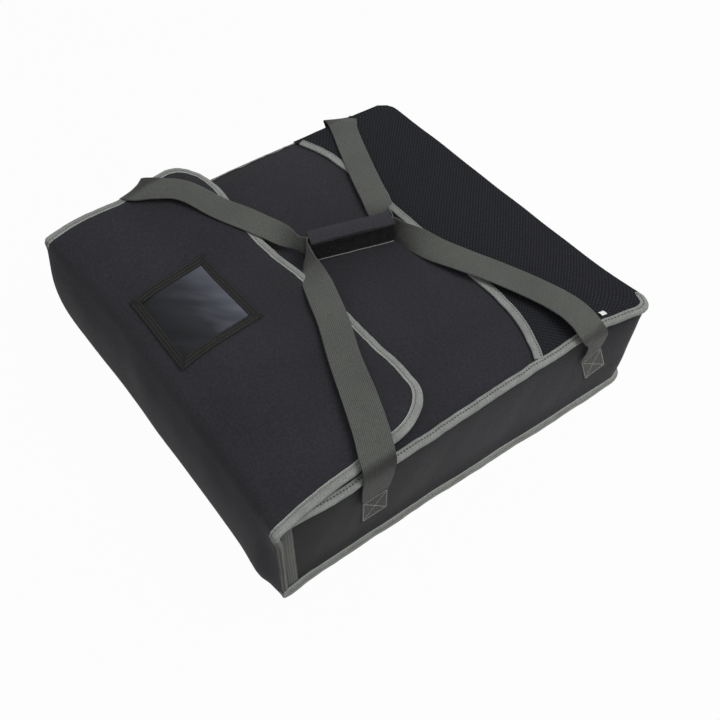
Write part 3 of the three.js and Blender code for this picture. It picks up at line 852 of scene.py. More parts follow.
pad_low = base_seam_height + clearance
wall_pad = slab("wall_pad", wall_face(0, pad_low, wall_bulge), wall_face(-padding, pad_low), wall_cloth,
                settle_body)
dress(wall_pad, "bag", ["wall_outer", "wall_foam_right", "wall_foam_back", "wall_foam_left"])
film_low = fabric + clearance
wall_film = slab("wall_film", wall_face(-padding - clearance, film_low), wall_face(-wall, film_low), film,
                 settle_body)
dress(wall_film, "bag", ["wall_lining"])

# The top, whose rim is drawn together

top_columns = 45
top_spacing = 11
top_pinch = 1.2
top_pinch_reach = 7

top_half = half_span + seam_allowance
top_grid = plan_grid(top_half, half_depth + seam_allowance, corner_radius + seam_allowance, body_height,
                     top_columns, top_spacing)
from_sides = from_ends(lengths_along(top_grid[len(top_grid) // 2]))
from_front_or_back = from_ends(lengths_along(top_grid[:, top_columns // 2]))
drop = top_pinch * np.exp(-np.minimum.outer(from_front_or_back, from_sides) / top_pinch_reach)
top_inner = lowered(top_grid, padding - drop) * [(half_span - inset) / top_half, 1, 1]
top_inner[..., 1] = np.minimum(top_inner[..., 1], half_depth - inset)
top = slab("top_pad", lowered(top_grid, drop), top_inner, black, settle_body)
dress(top, "bag", ["top_outer", "top_foam"])
ceiling = inner_grid(body_height - padding - clearance)
top_film = slab("top_film", ceiling, lowered(ceiling, lining), film, settle_body)
dress(top_film, "bag", ["top_lining"])

# The bound seam round the top, whose tape shows only at the right and is tucked away elsewhere. A fold is its
# upper leg, its lower leg, half its gap, its tilt and its ridges. A wave is its height and its pitch.

rim_spacing = 6
rim_gap = (rim_high - rim_low) / 2 - tape
rim_leg = 6.8
rim_under_leg = 7
hidden_leg = 0.3
rim_fold = (rim_leg, rim_under_leg, rim_gap, 0)
hidden_rim_fold = (hidden_leg, rim_under_leg, rim_gap, 0)
rim_waves = ((0.7, 46), (0.25, 13))
rim_sideways = (0.5, 60)
hidden_drop = 3
hidden_tuck = 0.8
hidden_back_stretch = (half_depth - 6, 10)
hidden_across_stretch = (-236, 16)
hidden_left_stretch = (0, 20)
stitch_inset = 2.7
thread_lift = 0.25

plan = resample(wall_line(rim_reach - (rim_gap + tape)), rim_spacing)
plan_out = outward(plan)
side_axes = at_height(plan_out, 0)
up_axes = repeated(UPWARDS, len(plan))
along_rim = lengths_along(plan)
at_back = ease(plan[:, 1], *hidden_back_stretch) * ease(-plan[:, 0], *hidden_across_stretch)
hidden = np.maximum(at_back, ease(-plan[:, 0], *hidden_left_stretch))
rim_path = at_height(plan, (rim_low + rim_high) / 2)
rim_path[:, 2] += sum(height * ripple(along_rim, pitch) for height, pitch in rim_waves) - hidden_drop * hidden
sideways = rim_sideways[0] * ripple(along_rim, rim_sideways[1], 2.0) - hidden_tuck * hidden
rim_path += side_axes * sideways[:, None]
rim_sections = changing_sections(rim_fold, hidden_rim_fold, hidden)
rim = sweep("rim_binding", rim_path, side_axes, up_axes, rim_sections, light_tape, settle_body)
dress(rim, "bag", ["rim_tape"])
seam = rim_path - side_axes * stitch_inset + up_axes * (rim_gap + tape + thread_lift)
seen = hidden < 0.5
rim_thread = stitches("rim_stitches", seam[seen], up_axes[seen], dark_thread, settle_body, pitch=4,
                      length=2.7, width=0.95)
dress(rim_thread, "bag")

# The bound seam round the bottom. At each front end its tape turns up in a foot.

base_gap = 1.3
foot_gap = base_gap * 0.15
base_fold = (4.9, 8, base_gap, 2.2)
foot_fold = (4.4, 6.5, foot_gap, 1.6)
base_out = 1.2
base_wave = (0.35, 52)
base_sideways = (0.6, 75)
foot_radius = 9
foot_splay = 2.5
foot_stands_off = 2
foot_stretch = (half_depth, 6)
base_stitch_inset = 3.3
base_thread_lift = 1.9

base_path = at_height(plan, base_seam_height)
base_path[:, 2] += base_wave[0] * ripple(along_rim, base_wave[1], 1.0)
base_path += side_axes * (base_sideways[0] * ripple(along_rim, base_sideways[1], 0.5) + base_out)[:, None]
track = np.hstack([base_path, side_axes, up_axes])
foot_turn = np.linspace(0, math.pi * 0.62, 9)[1:]
zero = np.zeros(len(foot_turn))
for end in (0, -1):
    out = np.sign(track[end, 0])
    foot = np.stack([track[end, 0] + out * foot_splay * np.sin(foot_turn / 2),
                     -half_depth - foot_stands_off - foot_radius * np.sin(foot_turn),
                     base_seam_height + foot_radius * (1 - np.cos(foot_turn)),
                     zero + out, zero, zero, zero, np.sin(foot_turn), np.cos(foot_turn)], axis=1)
    track = np.concatenate([foot[::-1], track] if end == 0 else [track, foot])
base_path, side_axes, up_axes = track[:, :3], track[:, 3:6], track[:, 6:]
in_foot = ease(-base_path[:, 1], *foot_stretch)
base_sections = changing_sections(base_fold, foot_fold, in_foot)
base = sweep("base_binding", base_path, side_axes, up_axes, base_sections, base_tape, settle_body)
dress(base, "bag", ["base_tape"])
half_gap = base_gap + (foot_gap - base_gap) * in_foot
seam = base_path - side_axes * base_stitch_inset + up_axes * (half_gap + tape + base_thread_lift)[:, None]
base_thread = stitches("base_stitches", seam, unit(up_axes + side_axes * 0.5), light_thread, settle_body,
                       length=3.1, width=0.65, height=0.5)
dress(base_thread, "bag")

# The tapes on the walls' front edges and on the top's

wall_edge_count = 24
edge_low = 3
edge_wave = (0.4, 30)
edge_ridge = 0.6
edge_inner_leg = 5
top_edge_count = 60
top_edge_wave = (0.3, 60)
top_edge_leg = 6
edge_middle_y = wall / 2 - half_depth

heights = np.linspace(edge_low, body_height - inset, wall_edge_count)
ys = edge_middle_y - clearance + edge_wave[0] * ripple(heights, edge_wave[1])
for name, side in (("right", 1), ("left", -1)):
    path = np.stack([np.full(wall_edge_count, side * (half_span - wall / 2)), ys, heights], axis=1)
    section = folded_section(tape_leg, edge_inner_leg, wall / 2 + clearance, ridge=edge_ridge)[::side]
    edge = sweep(f"wall_edge_binding_{name}", path, repeated(FORWARDS, wall_edge_count),
                 repeated((side, 0, 0), wall_edge_count), section, edge_tape, settle_body)
    dress(edge, "bag", [f"wall_edge_tape_{name}"])

half = half_span - wall - tape_reach - clearance
xs = np.linspace(-half, half, top_edge_count)
heights = body_height - wall / 2 + top_edge_wave[0] * ripple(xs, top_edge_wave[1])
path = np.stack([xs, np.full(top_edge_count, edge_middle_y), heights], axis=1)
section = folded_section(top_edge_leg, top_edge_leg, wall / 2 + clearance)[::-1]
top_edge = sweep("top_edge_binding", path, repeated(FORWARDS, top_edge_count),
                 repeated(UPWARDS, top_edge_count), section, dark_tape, settle_body)
dress(top_edge, "bag", ["top_edge_tape"])

# Front and flap: one padded panel, and one film behind it

front_spacing = 7
front_columns = 64
front_pinch = 1.4
front_pinch_reach = 7
film_pinch_share = 0.9
edge_spacing = 5.5


def front_profile():
    """The outer face in Y and Z from the ground to where the flap's corners begin to turn."""
    bow = arc(bow_y, bow_z, bow_radius, math.pi + bow_angle, math.pi - bow_angle, 24)
    shoulder = arc(shoulder_y, shoulder_z, shoulder_radius, math.pi - bow_angle, math.pi / 2, 8)[1:]
    flat = np.array([[flap_edge_y - flap_corner_radius, flap_high]])
    return resample(np.concatenate([bow, shoulder, flat]), front_spacing)


def front_grid():
    """Points of the outer face and their outward normals, in rows from the ground to the flap's free edge."""
    profile = front_profile()
    rows = []
    for (y, z), normal in zip(profile, outward(profile)):
        share = np.clip((y - shoulder_y) / (flap_edge_y - flap_corner_radius - shoulder_y), 0, 1)
        rows.append((y, z, front_half - flap_taper * share, normal))
    for turn in np.linspace(0, math.pi / 2, 11)[1:]:
        y = flap_edge_y - flap_corner_radius * (1 - math.sin(turn))
        half_width = front_half - flap_taper - flap_corner_radius * (1 - math.cos(turn))
        rows.append((y, flap_high, half_width, (0, 1)))
    even = np.linspace(-1, 1, front_columns)
    shares = 0.35 * np.sin(even * math.pi / 2) + 0.65 * even
    points = np.array([[(share * half_width, y, z) for share in shares] for y, z, half_width, _ in rows])
    normals = np.array([[(0, *normal)] * front_columns for *_, normal in rows])
    return points, normals


grid, normals = front_grid()
from_sides = np.minimum(*(np.linalg.norm(grid - grid[:, side, None], axis=-1) for side in (0, -1)))
from_free_edge = np.linalg.norm((grid - grid[-1, 0])[..., 1:], axis=-1)
drop = (front_pinch * np.exp(-np.minimum(from_sides, from_free_edge) / front_pinch_reach))[..., None]
front_pad = slab("front_and_flap", grid - normals * drop, grid - normals * (padding - drop), black,
                 settle_front)
dress(front_pad, None, ["front_outer", "front_foam", "flap_outer", "flap_foam"])
film_drop = film_pinch_share * drop
front_film = slab("front_and_flap_film", grid - normals * (padding + clearance - film_drop),
                  grid - normals * (wall - film_drop), film, settle_front)
dress(front_film, None, ["front_lining", "flap_lining"])

# Its edge, walked up the right side, round the flap and down the left side. The tape lies flat on the flap,
# and below the fold it is drawn back over the edge.

edge_half = wall / 2 - front_pinch + clearance
flap_leg = 7.6
front_leg = 1
front_swell = 0.9
flap_tilt = 0.5
front_ridge = 0.8
flap_fold = (flap_leg, flap_leg, edge_half, flap_tilt, 0)
front_fold = (front_leg, flap_leg, edge_half + front_swell, 0, front_ridge)
edge_inset = 1.6
pucker_waves = ((0.3, 16, 0), (0.5, 47, 1))
pucker_up_share = 0.5
pucker_out_share = 0.7
tape_sink = 2.1
left_tape_sink = 2
tape_overlap = 8
foot_height = 10
fold_length = 12
sewn_overlap = 14
seam_inset = 4.2
selvage_inset = 7.2
stitch_rise = 0.55

edge_points, edge_normals = (np.concatenate([rows[:, -1], rows[-1, -2:0:-1], rows[::-1, 0]])
                             for rows in (grid, normals))
edge_points = edge_points - edge_normals * (wall / 2)
along = lengths_along(edge_points)
spaced = np.arange(0, along[-1], edge_spacing)
edge_points = sample(edge_points, along, spaced)
edge_normals = unit(sample(edge_normals, along, spaced))
edge_out = unit(np.cross(tangents(edge_points), edge_normals))
edge_z = edge_points[:, 2]
at_left = edge_points[:, 0] < 0
below_fold = ease(-edge_z, fold_length - flap_high, fold_length)
pucker = sum(height * ripple(spaced, pitch, phase) for height, pitch, phase in pucker_waves)
outwards = pucker * pucker_out_share - edge_inset
upwards = pucker * pucker_up_share - below_fold * (tape_sink + left_tape_sink * at_left)
tape_path = edge_points + edge_out * outwards[:, None] + edge_normals * upwards[:, None]
panel_sections = changing_sections(flap_fold, front_fold, below_fold)[:, ::-1]
on_flap = edge_z > flap_high - 2 * tape_overlap
on_front = (edge_z < flap_high - tape_overlap) & (edge_z > foot_height)
panel_pieces = []
for name, part, material, node in (
    ("flap_binding", on_flap, light_tape, "flap_tape"),
    ("front_binding_right", on_front & ~at_left, dark_tape, "front_tape_right"),
    ("front_binding_left", on_front & at_left, dark_tape, "front_tape_left"),
):
    panel_tape = sweep(name, tape_path[part], edge_out[part], edge_normals[part], panel_sections[part],
                       material, settle_front)
    panel_pieces.append(dress(panel_tape, None, [node]))
sewn = edge_z > flap_high - sewn_overlap
for name, thread_inset, thread, length, width in (
    ("stitches", seam_inset, flap_thread, 2.6, 0.6),
    ("selvage", selvage_inset, light_thread, 3.4, 0.4),
):
    seam = tape_path - edge_out * thread_inset + edge_normals * (edge_half + tape + stitch_rise)
    panel_thread = stitches(f"front_and_flap_{name}", seam[sewn], edge_normals[sewn], thread, settle_front,
                            length=length, width=width)
    panel_pieces.append(dress(panel_thread, None))

for piece in (front_pad, front_film, *panel_pieces):
    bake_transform(piece)

# Mesh pocket and its bound mouth

pocket_rows = 16
pocket_columns = 64
net_thickness = 0.5
net_lift = 0.4
net_belly = 1.6
net_wave = (0.5, 90)
net_inset = 1
mouth_sag = ((-240, 8), (-190, 8), (-120, 10), (-40, 12), (20, 9), (75, 6), (110, 4.5), (150, 2), (200, 2),
             (245, 5))
mouth_half = half_span - 3
mouth_lift = 0.6
mouth_gap = 0.7
mouth_leg = 9
mouth_stitch_inset = 7
mouth_wave = (0.3, 40)
mouth_sideways = (0.5, 55)
mouth_thread_lift = 1.6


def mouth_y(x):
    return half_depth - pocket_depth - through(x, *mouth_sag) - pocket_drop * np.abs(x / half_span) ** 4


net_half = half_span + seam_allowance - net_inset
net_back = half_depth + seam_allowance - net_inset
corner_turn = corner_radius + seam_allowance
shares = np.linspace(-1, 1, pocket_columns)
x = shares * net_half
over = np.maximum(0, np.abs(x) - (half_span + seam_allowance - corner_turn))
back = net_back - corner_turn + np.sqrt(corner_turn**2 - over**2)
part = np.linspace(0, 1, pocket_rows)[:, None]
y = mouth_y(x) * (1 - part) + back * part
belly = net_belly * (1 - shares**4) + net_wave[0] * ripple(x + 1.3 * y, net_wave[1])
heights = mesh_low + net_lift + belly * np.sin(math.pi * part)
net_grid = np.stack([np.broadcast_to(x, y.shape), y, heights], axis=-1)
pocket = slab("pocket_net", net_grid, lowered(net_grid, net_thickness), net, settle_body)
dress(pocket, "bag", ["pocket_mesh"])

xs = np.linspace(-mouth_half, mouth_half, 90)
mouth_line = np.stack([xs, mouth_y(xs)], axis=1)
mouth_path = resample(at_height(mouth_line, mesh_low + mouth_lift), edge_spacing)
ups = repeated(UPWARDS, len(mouth_path))
mouth_out = unit(np.cross(tangents(mouth_path), ups))
along = lengths_along(mouth_path)
mouth_path[:, 2] += mouth_wave[0] * ripple(along, mouth_wave[1])
mouth_path += mouth_out * (mouth_sideways[0] * ripple(along, mouth_sideways[1]))[:, None]
section = folded_section(mouth_leg, mouth_leg, mouth_gap)[::-1]
pocket_tape = sweep("pocket_binding", mouth_path, mouth_out, ups, section, light_tape, settle_body)
dress(pocket_tape, "bag", ["pocket_tape"])
seam = mouth_path - mouth_out * mouth_stitch_inset + ups * mouth_thread_lift
pocket_thread = stitches("pocket_stitches", seam, ups, dark_thread, settle_body, pitch=4, length=2.6,
                         width=0.65)
dress(pocket_thread, "bag")

# Blank tag in the seam beside the pocket

tag_left, tag_right = 233, 239.5
tag_half = 3
tag_thickness = 0.4
tag_crown = 0.8
tag_crown_length = 8
tag_y = half_depth - 50

ys, xs = np.meshgrid(np.linspace(tag_y - tag_half, tag_y + tag_half, 4), np.linspace(tag_left, tag_right, 7),
                     indexing="ij")
crown = tag_crown * np.sin(math.pi * (xs - tag_left) / tag_crown_length)
tag_grid = np.stack([xs, ys, rim_high + tag_thickness + crown], axis=-1)
tag = slab("blank_tag", tag_grid, lowered(tag_grid, tag_thickness), white_cloth, settle_body)
dress(tag, "bag", ["side_tag"])

# Hook and loop between the flap and the top

strip_y = flap_edge_y - 30
strip_x = half_span - 95
strip_half_length = 45
strip_half_width = 12.5
strip_thickness = (flap_low - body_height - 3 * clearance) / 2
loop_low = body_height + clearance
hook_low = loop_low + strip_thickness + clearance

ys, xs = np.meshgrid(strip_y + np.linspace(-strip_half_width, strip_half_width, 14),
                     np.linspace(-strip_half_length, strip_half_length, 46), indexing="ij")
for name, side in (("right", 1), ("left", -1)):
    for kind, low, body in (("loop", loop_low, "bag"), ("hook", hook_low, "flap")):
        x = side * strip_x + xs
        rough = 0.8 + 0.2 * np.sin(7.1 * x) * np.cos(5.3 * ys)
        high = np.stack([x, ys, low + strip_thickness * rough], axis=-1)
        under = np.stack([x, ys, np.full(x.shape, low)], axis=-1)
        if kind == "hook":
            high, under = under[:, ::-1], high[:, ::-1]
        strip = slab(f"{kind}_pile_{name}", high, under, pile)
        dress(strip, body, [f"{kind}_strip_{name}"])

# Card holder on the flap, sewn on askew: a clear sheet, and a frame of four ribbons

card_surface = flap_high + 0.2
sheet_lift = 0.7
sheet_thickness = 0.4
sheet_wave = (0.25, 60)
sheet_count = 25
ribbon_foot = 0.2
ribbon_lift = 1.3
ribbon_crown = 0.35
ribbon_step = 0.12
ribbon_wave = (0.15, 37)
ribbon_thread_lift = 1.7
seam_shares = (0.14, 0.5, 0.86)
corner_signs = ((1, -1), (1, 1), (-1, 1), (-1, -1))


def aslant(y):
    """How far the holder's points at y lie towards the right."""
    return card_slant * (card_y + card_depth / 2 - y) / card_depth


def card_corners(margin):
    corners = []
    for side, end in corner_signs:
        y = card_y + end * (card_depth / 2 - margin)
        corners.append(np.array([card_x + side * (card_width / 2 - margin) + aslant(y), y]))
    return corners


def on_ribbon(number, along, across):
    """Places on one ribbon of the frame, by shares of its length and of its width inwards."""
    outer, inner = (corners[number] + (corners[(number + 1) % 4] - corners[number]) * along
                    for corners in (card_corners(0), card_corners(ribbon_width)))
    return outer * (1 - across) + inner * across


window_half = (card_width - ribbon_width) / 2
window_deep = (card_depth - ribbon_width) / 2
ys, xs = np.meshgrid(card_y + np.linspace(-window_deep, window_deep, sheet_count),
                     card_x + np.linspace(-window_half, window_half, sheet_count), indexing="ij")
xs = xs + aslant(ys)
heights = card_surface + sheet_lift + sheet_wave[0] * ripple(xs + 0.7 * ys, sheet_wave[1])
sheet = np.stack([xs, ys, heights], axis=-1)
window = slab("card_sheet", sheet, lowered(sheet, sheet_thickness), clear, settle_front)
dress(window, "flap", ["card_window"])

along = np.linspace(0, 1, 26)[:, None, None]
across = np.linspace(0, 1, 7)[None, :, None]
for k in range(4):
    crown = ribbon_crown * np.sqrt(np.sin(math.pi * across)) + ribbon_step * k
    heights = ribbon_lift + crown + ribbon_wave[0] * ripple(along * 120 + k, ribbon_wave[1])
    high = np.concatenate([on_ribbon(k, along, across), card_surface + heights], axis=2)
    under = high.copy()
    under[..., 2] = card_surface + ribbon_foot
    ribbon = slab(f"card_frame_{k + 1}", high, under, ribbon_cloth, settle_front)
    dress(ribbon, "flap", ["card_frame"] if k == 0 else [])
sewn_shares = np.linspace(0.03, 0.97, 40)[:, None]
ups = repeated(UPWARDS, len(sewn_shares))
for row in range(12):
    k = row // 3
    seam = on_ribbon(k, sewn_shares, seam_shares[row % 3])
    seam = at_height(seam, card_surface + ribbon_thread_lift + ribbon_step * k)
    sewn = stitches(f"card_stitches_{row + 1}", seam, ups, olive_thread, settle_front, width=0.45,
                    height=0.25)
    dress(sewn, "flap")

# Webbing handles

strap_shares = np.array([-1, -0.97, -0.5, 0, 0.5, 0.97, 1, 0.97, 0.5, 0, -0.5, -0.97])
strap_rise = webbing * np.array([0, 0.5, 0.5, 0.5, 0.5, 0.5, 0, -0.5, -0.5, -0.5, -0.5, -0.5])


def strap(name, centres, acrosses, half_widths, settle=as_is):
    """A flat strap with rounded edges along a path, its width lying along acrosses."""
    along = tangents(centres)
    acrosses = unit(acrosses - along * np.sum(acrosses * along, axis=1, keepdims=True))
    ups = unit(np.cross(along, acrosses))
    sideways = half_widths[:, None] * strap_shares
    points = centres[:, None] + acrosses[:, None] * sideways[..., None] + ups[:, None] * strap_rise[:, None]
    lengths = np.broadcast_to(lengths_along(centres)[:, None], sideways.shape)
    uvs = np.stack([lengths, sideways], axis=-1)
    return add_mesh(name, points, tube_faces(*sideways.shape), uvs, strap_cloth, settle)


grip_axis = np.array([-math.sin(grip_turn), math.cos(grip_turn), 0.0])
grip_side = np.array([math.cos(grip_turn), math.sin(grip_turn), 0.0])
grip_middle = np.array([grip_x, grip_y, 0.0])
strap_lift = 1.3
wrap_thickness = 1.2
pad_gap = 0.3
gathered_middle = grip_low + wrap_thickness + 2 * pad_gap + gathered_width / 2
gathered_share = gathered_width / webbing_width
gathered_side = 1.2


def grip_place(sideways, lengthways, height):
    return grip_middle + grip_side * sideways + grip_axis * lengthways + np.multiply(UPWARDS, height)


def leg_stops(side, end):
    """The places that a handle passes, from the top of one patch, over the rim and the flap or the pocket, to
    the grip. Each is its middle, the direction across it and its width as a share of the webbing's."""
    patch = side * (half_span + strap_lift)
    level = (0, 1, 0)
    if side > 0 and end < 0:
        way = [
            (patch, -135.5, 90, level, 0.97),
            (249.8, -137.4, 108, (0.07, 1, 0.1), 1.02),
            (254, -139, 133, (0.08, 1, 0.05), 1.05),
            (254, -138.5, 147, (0.08, 1, 0.03), 1.05),
            (249, -135.5, 156.5, (0.14, 1, 0), 1.05),
            (238, -131, 160, (0.28, 1, 0), 1.05),
            (212, -119, 160, (0.45, 0.9, 0), 1.06),
            (165, -101, 159, (0.5, 0.87, 0), 1.06),
            (114, -83, 158, (0.49, 0.87, 0), 1),
            (66, -63, 157, (0.47, 0.88, 0), 1),
            (29, -51, 157, (0.45, 0.89, 0), 1),
            (4, -43, 156, (0.36, 0.92, 0.1), 0.95),
            (-16, -37, 155, (0.25, 0.85, 0.4), 0.82),
            (-36, -29, 154, (0.1, 0.5, 0.85), 0.7),
        ]
    elif side < 0 and end < 0:
        way = [
            (patch, -135, 90, level, 1),
            (patch - 4, -137, 106, level, 1),
            (-260, -142, 132, level, 1),
            (-265, -148, 155, (0, 1, 0.15), 1),
            (-263, -151, 168, (0, 0.93, 0.33), 1),
            (-253, -147, 176, (-0.22, 0.93, 0.27), 1),
            (-235, -126, 180, (-0.45, 0.88, 0.1), 0.98),
            (-212, -100, 179, (-0.55, 0.83, 0), 0.97),
            (-171, -75, 167, (-0.45, 0.9, 0), 0.98),
            (-143, -56, 161, (-0.42, 0.9, 0.05), 0.98),
            (-110, -38, 157, (-0.35, 0.92, 0.15), 0.88),
            (-87, -29, 156, (-0.3, 0.7, 0.6), 0.68),
            (-70, -22, 155, (-0.1, 0.35, 0.95), 0.5),
        ]
    elif side < 0:
        way = [
            (patch, 187, 90, level, 0.9),
            (patch - 4, 187, 106, level, 1),
            (-258, 180, 128, level, 1),
            (-262, 178, 135, (0.1, 1, -0.1), 1.15),
            (-258, 177, 144, (0.22, 0.96, -0.13), 1.32),
            (-246, 172, 148, (0.4, 0.92, -0.05), 1.15),
            (-226, 163, 148.5, (0.44, 0.9, 0), 1),
            (-185, 147, 148, (0.44, 0.9, 0), 1),
            (-122, 125, 146, (0.45, 0.9, 0), 1),
            (-89, 114, 147, (0.5, 0.86, 0.1), 0.98),
            (-66, 104, 150, (0.4, 0.8, 0.4), 0.92),
            (-48, 96, 153, (0.15, 0.5, 0.85), 0.85),
        ]
    else:
        way = [
            (patch, 190, 92, (0, 1, 0.2), 0.78),
            (patch + 2, 193.5, 108, (0.05, 1, 0.1), 0.72),
            (252, 189, 125, (0.08, 1, 0.05), 0.7),
            (254.5, 181.5, 142, (0.15, 0.97, 0.08), 0.78),
            (249, 176, 151, (0.1, 0.98, 0.03), 0.96),
            (235, 178, 154.5, (-0.1, 0.99, 0), 1),
            (213, 179.5, 154.5, (-0.22, 0.97, 0), 1),
            (186, 177, 152, (-0.3, 0.95, 0), 1),
            (150, 167, 150, (-0.33, 0.94, 0), 1),
            (109, 151, 149, (-0.38, 0.92, 0), 1),
            (68, 132, 148, (-0.42, 0.9, 0.08), 0.98),
            (34, 116, 148, (-0.42, 0.85, 0.3), 0.93),
            (8, 106, 150, (-0.3, 0.65, 0.7), 0.85),
            (-10, 99, 152, (-0.1, 0.3, 0.95), 0.78),
        ]
    for part in (0.52, 0.38, 0.25):
        middle = grip_place(side * gathered_side, end * part * grip_length, gathered_middle)
        way.append((*middle, UPWARDS, gathered_share))
    return way


# The sewn ends. A box with a cross is sewn through each.

patch_count = 12
patch_lift = 1.5
patch_thread_lift = 2.45

# An end is its middle, its half width, its lean, its slope and its rise
front_end = (-135, 18.4, 0, 0, 0)
back_end = (195, 14.2, 0.33, 0.45, 5)

# A box's corners are (across, up), and its lines join corners by their numbers
box_low = 2.5
box_high = 39
box_inset = 2.6
box_corners = ((-1, 0), (1, 0), (1, 1), (-1, 1))
box_lines = ((0, 1), (1, 2), (2, 3), (3, 0), (0, 2), (1, 3))


def sewn_end(name, side, middle_y, half_width, lean, slope, rise):
    """A patch of webbing on a side wall, rise above its plain place. It leans to the front as it goes up, and
    its ends slope."""
    low = anchor_low + rise
    lean_middle = (anchor_low + anchor_high) / 2 + rise
    heights = np.linspace(low, anchor_high + rise, patch_count)
    path = np.stack([np.full(patch_count, side * (half_span + patch_lift)),
                     middle_y - lean * (heights - lean_middle), heights], axis=1)
    patch = strap(f"patch_{name}", path, repeated((0, 1, slope), patch_count),
                  np.full(patch_count, half_width), settle_body)
    dress(patch, "bag", [f"anchor_{name}"])
    corners = []
    for across, up in box_corners:
        out = across * (half_width - box_inset)
        height = low + (box_high if up else box_low)
        y = middle_y - lean * (height - lean_middle) + out
        corners.append((side * (half_span + patch_thread_lift), y, height + out * slope))
    for number, (start, stop) in enumerate(box_lines):
        line = np.linspace(corners[start], corners[stop], patch_count)
        sewn = stitches(f"patch_{name}_stitches_{number + 1}", line, repeated((side, 0, 0), patch_count),
                        light_thread, settle_body, pitch=3, length=2.4, width=0.4, height=0.25)
        dress(sewn, "bag")


for name, side in (("right", 1), ("left", -1)):
    stops = leg_stops(side, -1) + leg_stops(side, 1)[::-1]
    count = 9 * (len(stops) - 1) + 1
    centres = spline([stop[:3] for stop in stops], count)
    acrosses = spline([stop[3] for stop in stops], count)
    half_widths = spline([[stop[4]] for stop in stops], count)[:, 0] * webbing_width / 2
    handle = strap(f"strap_{name}", centres, acrosses, half_widths)
    dress(handle, None, [f"handle_{name}"])
    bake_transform(handle)
    sewn_end(f"{name}_front", side, *front_end)
    sewn_end(f"{name}_back", side, *back_end)

# Grip: a wrap, two pads and a loop strip that stay, and a cover that folds back with its hook strip

grip_tuck_share = 0.12
grip_tuck_reach = 2.5
grip_sag = (0.3, 40)
grip_rings = 40
bar_round_share = 0.35
pad_thickness = 4.6
pile_thickness = 1
hook_thickness = 0.8
lip_height = 3.4
hook_height = 9
hem_thickness = 1.4
hem_lift = 0.2


def grip_bar(name, left, thickness, low, high, material=grip_cloth, body="handle_left",
             nodes=()):
    """A soft bar along the grip with round edges, given across it and upwards."""
    right = left + thickness
    radius = min(thickness, high - low) * bar_round_share
    section = np.concatenate([
        arc(x, z, radius, quarter * math.pi / 2, (quarter + 1) * math.pi / 2, 4)
        for quarter, (x, z) in enumerate(((right - radius, high - radius), (left + radius, high - radius),
                                          (left + radius, low + radius), (right - radius, low + radius)))
    ])
    middle = section.mean(axis=0)
    lengthways = np.linspace(-grip_length / 2, grip_length / 2, grip_rings)
    rings = []
    for t in lengthways:
        tuck = 1 - grip_tuck_share * math.exp((abs(t) - grip_length / 2) / grip_tuck_reach)
        sag = grip_sag[0] * ripple(t, grip_sag[1])
        rings.append([grip_place(x, t, z + sag) for x, z in middle + (section - middle) * tuck])
    uvs = np.stack(np.meshgrid(lengthways, lengths_along(section), indexing="ij"), axis=-1)
    piece = add_mesh(name, rings, tube_faces(grip_rings, len(section)), uvs, material)
    return dress(piece, body, nodes)


half_grip = grip_width / 2
trough_high = grip_low + wrap_thickness + 2 * pad_gap + gathered_width
cover_low = trough_high + clearance
cover_high = cover_low + wrap_thickness
grip_pad_low = grip_low + wrap_thickness + pad_gap
pad_inset = wrap_thickness + pad_gap + pad_thickness
lip_right = half_grip + 3 * wrap_thickness

grip_bar("grip_wrap_front", half_grip - wrap_thickness, wrap_thickness, grip_low, trough_high,
         nodes=["grip_wrap"])
grip_bar("grip_wrap_back", -half_grip, wrap_thickness, grip_low, trough_high)
grip_bar("grip_wrap_under", -half_grip, grip_width, grip_low, grip_low + wrap_thickness)
for name, left in (("front", half_grip - pad_inset), ("back", pad_inset - half_grip - pad_thickness)):
    pad = grip_bar(f"grip_padding_{name}", left, pad_thickness, grip_pad_low, trough_high,
                   nodes=[f"grip_pad_{name}"])
grip_bar("grip_loop_pile", half_grip + pad_gap, pile_thickness, grip_low, trough_high, pile,
         nodes=["grip_loop"])
grip_bar("grip_cover_top", -half_grip, half_grip + lip_right, cover_low, cover_high, body="grip_cover",
         nodes=["grip_cover"])
grip_bar("grip_cover_lip", lip_right - wrap_thickness, wrap_thickness, cover_high - lip_height, cover_high,
         body="grip_cover")
grip_bar("grip_hook_pile", lip_right - wrap_thickness - hook_thickness, hook_thickness,
         cover_high - hook_height, trough_high, pile, "grip_cover", ["grip_hook"])
hem_low = grip_low + hem_lift
grip_bar("grip_hem", half_grip + 3 * pad_gap, hem_thickness, hem_low, hem_low + wrap_thickness, base_tape)

# Camera at the photograph's angle, in metres

azimuth = math.radians(52.708)
elevation = math.radians(51.37)
roll = math.radians(-1.213)
camera_place = Vector((0.6248, -0.4423, 0.9377))

camera_data = bpy.data.cameras.new("camera")
camera_data.sensor_width = 36
camera_data.lens = 44.55
camera = bpy.data.objects.new("camera", camera_data)
camera.matrix_world = (Matrix.Translation(camera_place) @ Matrix.Rotation(azimuth, 4, "Z")
                       @ Matrix.Rotation(math.pi / 2 - elevation, 4, "X") @ Matrix.Rotation(-roll, 4, "Z"))
collection.objects.link(camera)
bpy.context.scene.camera = camera

# A pale floor that is white to the camera and to reflections, and keeps the bag's shadow

floor_half = 8
floor_drop = 0.001
floor_glow_share = 0.97

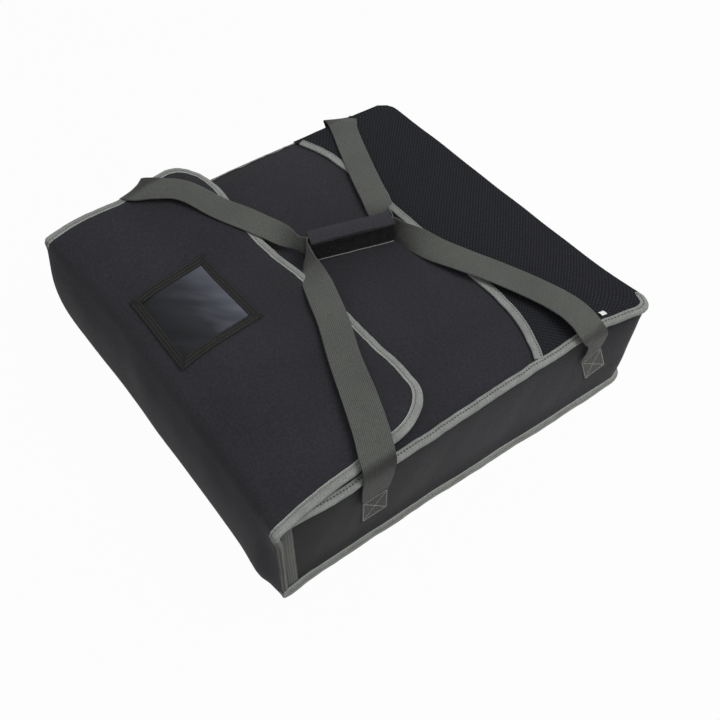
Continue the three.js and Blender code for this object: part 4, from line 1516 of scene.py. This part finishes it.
shader = Shader("white_floor", Roughness=0.9, Specular_IOR_Level=0.1, Base_Color=(0.35, 0.35, 0.35, 1))
rays = shader.nodes.new("ShaderNodeLightPath").outputs
reflected = shader.plus(rays["Is Glossy Ray"], rays["Is Transmission Ray"])
seen = shader.plus(rays["Is Camera Ray"], reflected, clamp=True)
glow = shader.nodes.new("ShaderNodeEmission")
mixer = shader.nodes.new("ShaderNodeMixShader")
shader.links.new(shader.times(seen, floor_glow_share), mixer.inputs[0])
shader.links.new(shader.bsdf.outputs[0], mixer.inputs[1])
shader.links.new(glow.outputs[0], mixer.inputs[2])
shader.links.new(mixer.outputs[0], shader.nodes["Material Output"].inputs["Surface"])
floor_mesh = bpy.data.meshes.new("floor")
floor_corners = ((-1, -1), (1, -1), (1, 1), (-1, 1))
floor_points = [(x * floor_half, y * floor_half, -floor_drop) for x, y in floor_corners]
floor_mesh.from_pydata(floor_points, [], [(0, 1, 2, 3)])
floor_mesh.materials.append(shader.material)
floor = bpy.data.objects.new("floor", floor_mesh)
collection.objects.link(floor)
floor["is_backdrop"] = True

# Soft light: the world, which is white to the camera and dimmer as a light, and two soft boxes

world_strength = 0.6

world = bpy.data.worlds.new("studio")
bpy.context.scene.world = world
world.use_nodes = True
world_nodes = world.node_tree.nodes
world_links = world.node_tree.links
background = world_nodes["Background"]
background.inputs["Color"].default_value = (*WHITE, 1)
strength = world_nodes.new("ShaderNodeMapRange")
strength.inputs["To Min"].default_value = world_strength
strength.inputs["To Max"].default_value = 1.0
world_links.new(world_nodes.new("ShaderNodeLightPath").outputs["Is Camera Ray"], strength.inputs["Value"])
world_links.new(strength.outputs[0], background.inputs["Strength"])


def softbox(name, place, target, size, power):
    lamp = bpy.data.lights.new(name, "AREA")
    lamp.shape = "RECTANGLE"
    lamp.size, lamp.size_y = size
    lamp.energy = power
    holder = bpy.data.objects.new(name, lamp)
    holder.location = place
    holder.rotation_euler = (Vector(target) - Vector(place)).to_track_quat("-Z", "Y").to_euler()
    collection.objects.link(holder)


softbox("key_light", (0.8, 0.95, 2.05), (0, 0, 0.1), (1.4, 1.4), 31)
softbox("side_light", (1.7, 0.9, 0.9), (0, 0.1, 0.1), (1.2, 0.9), 2.5)
bpy.context.scene.view_settings.view_transform = "Standard"

low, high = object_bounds()
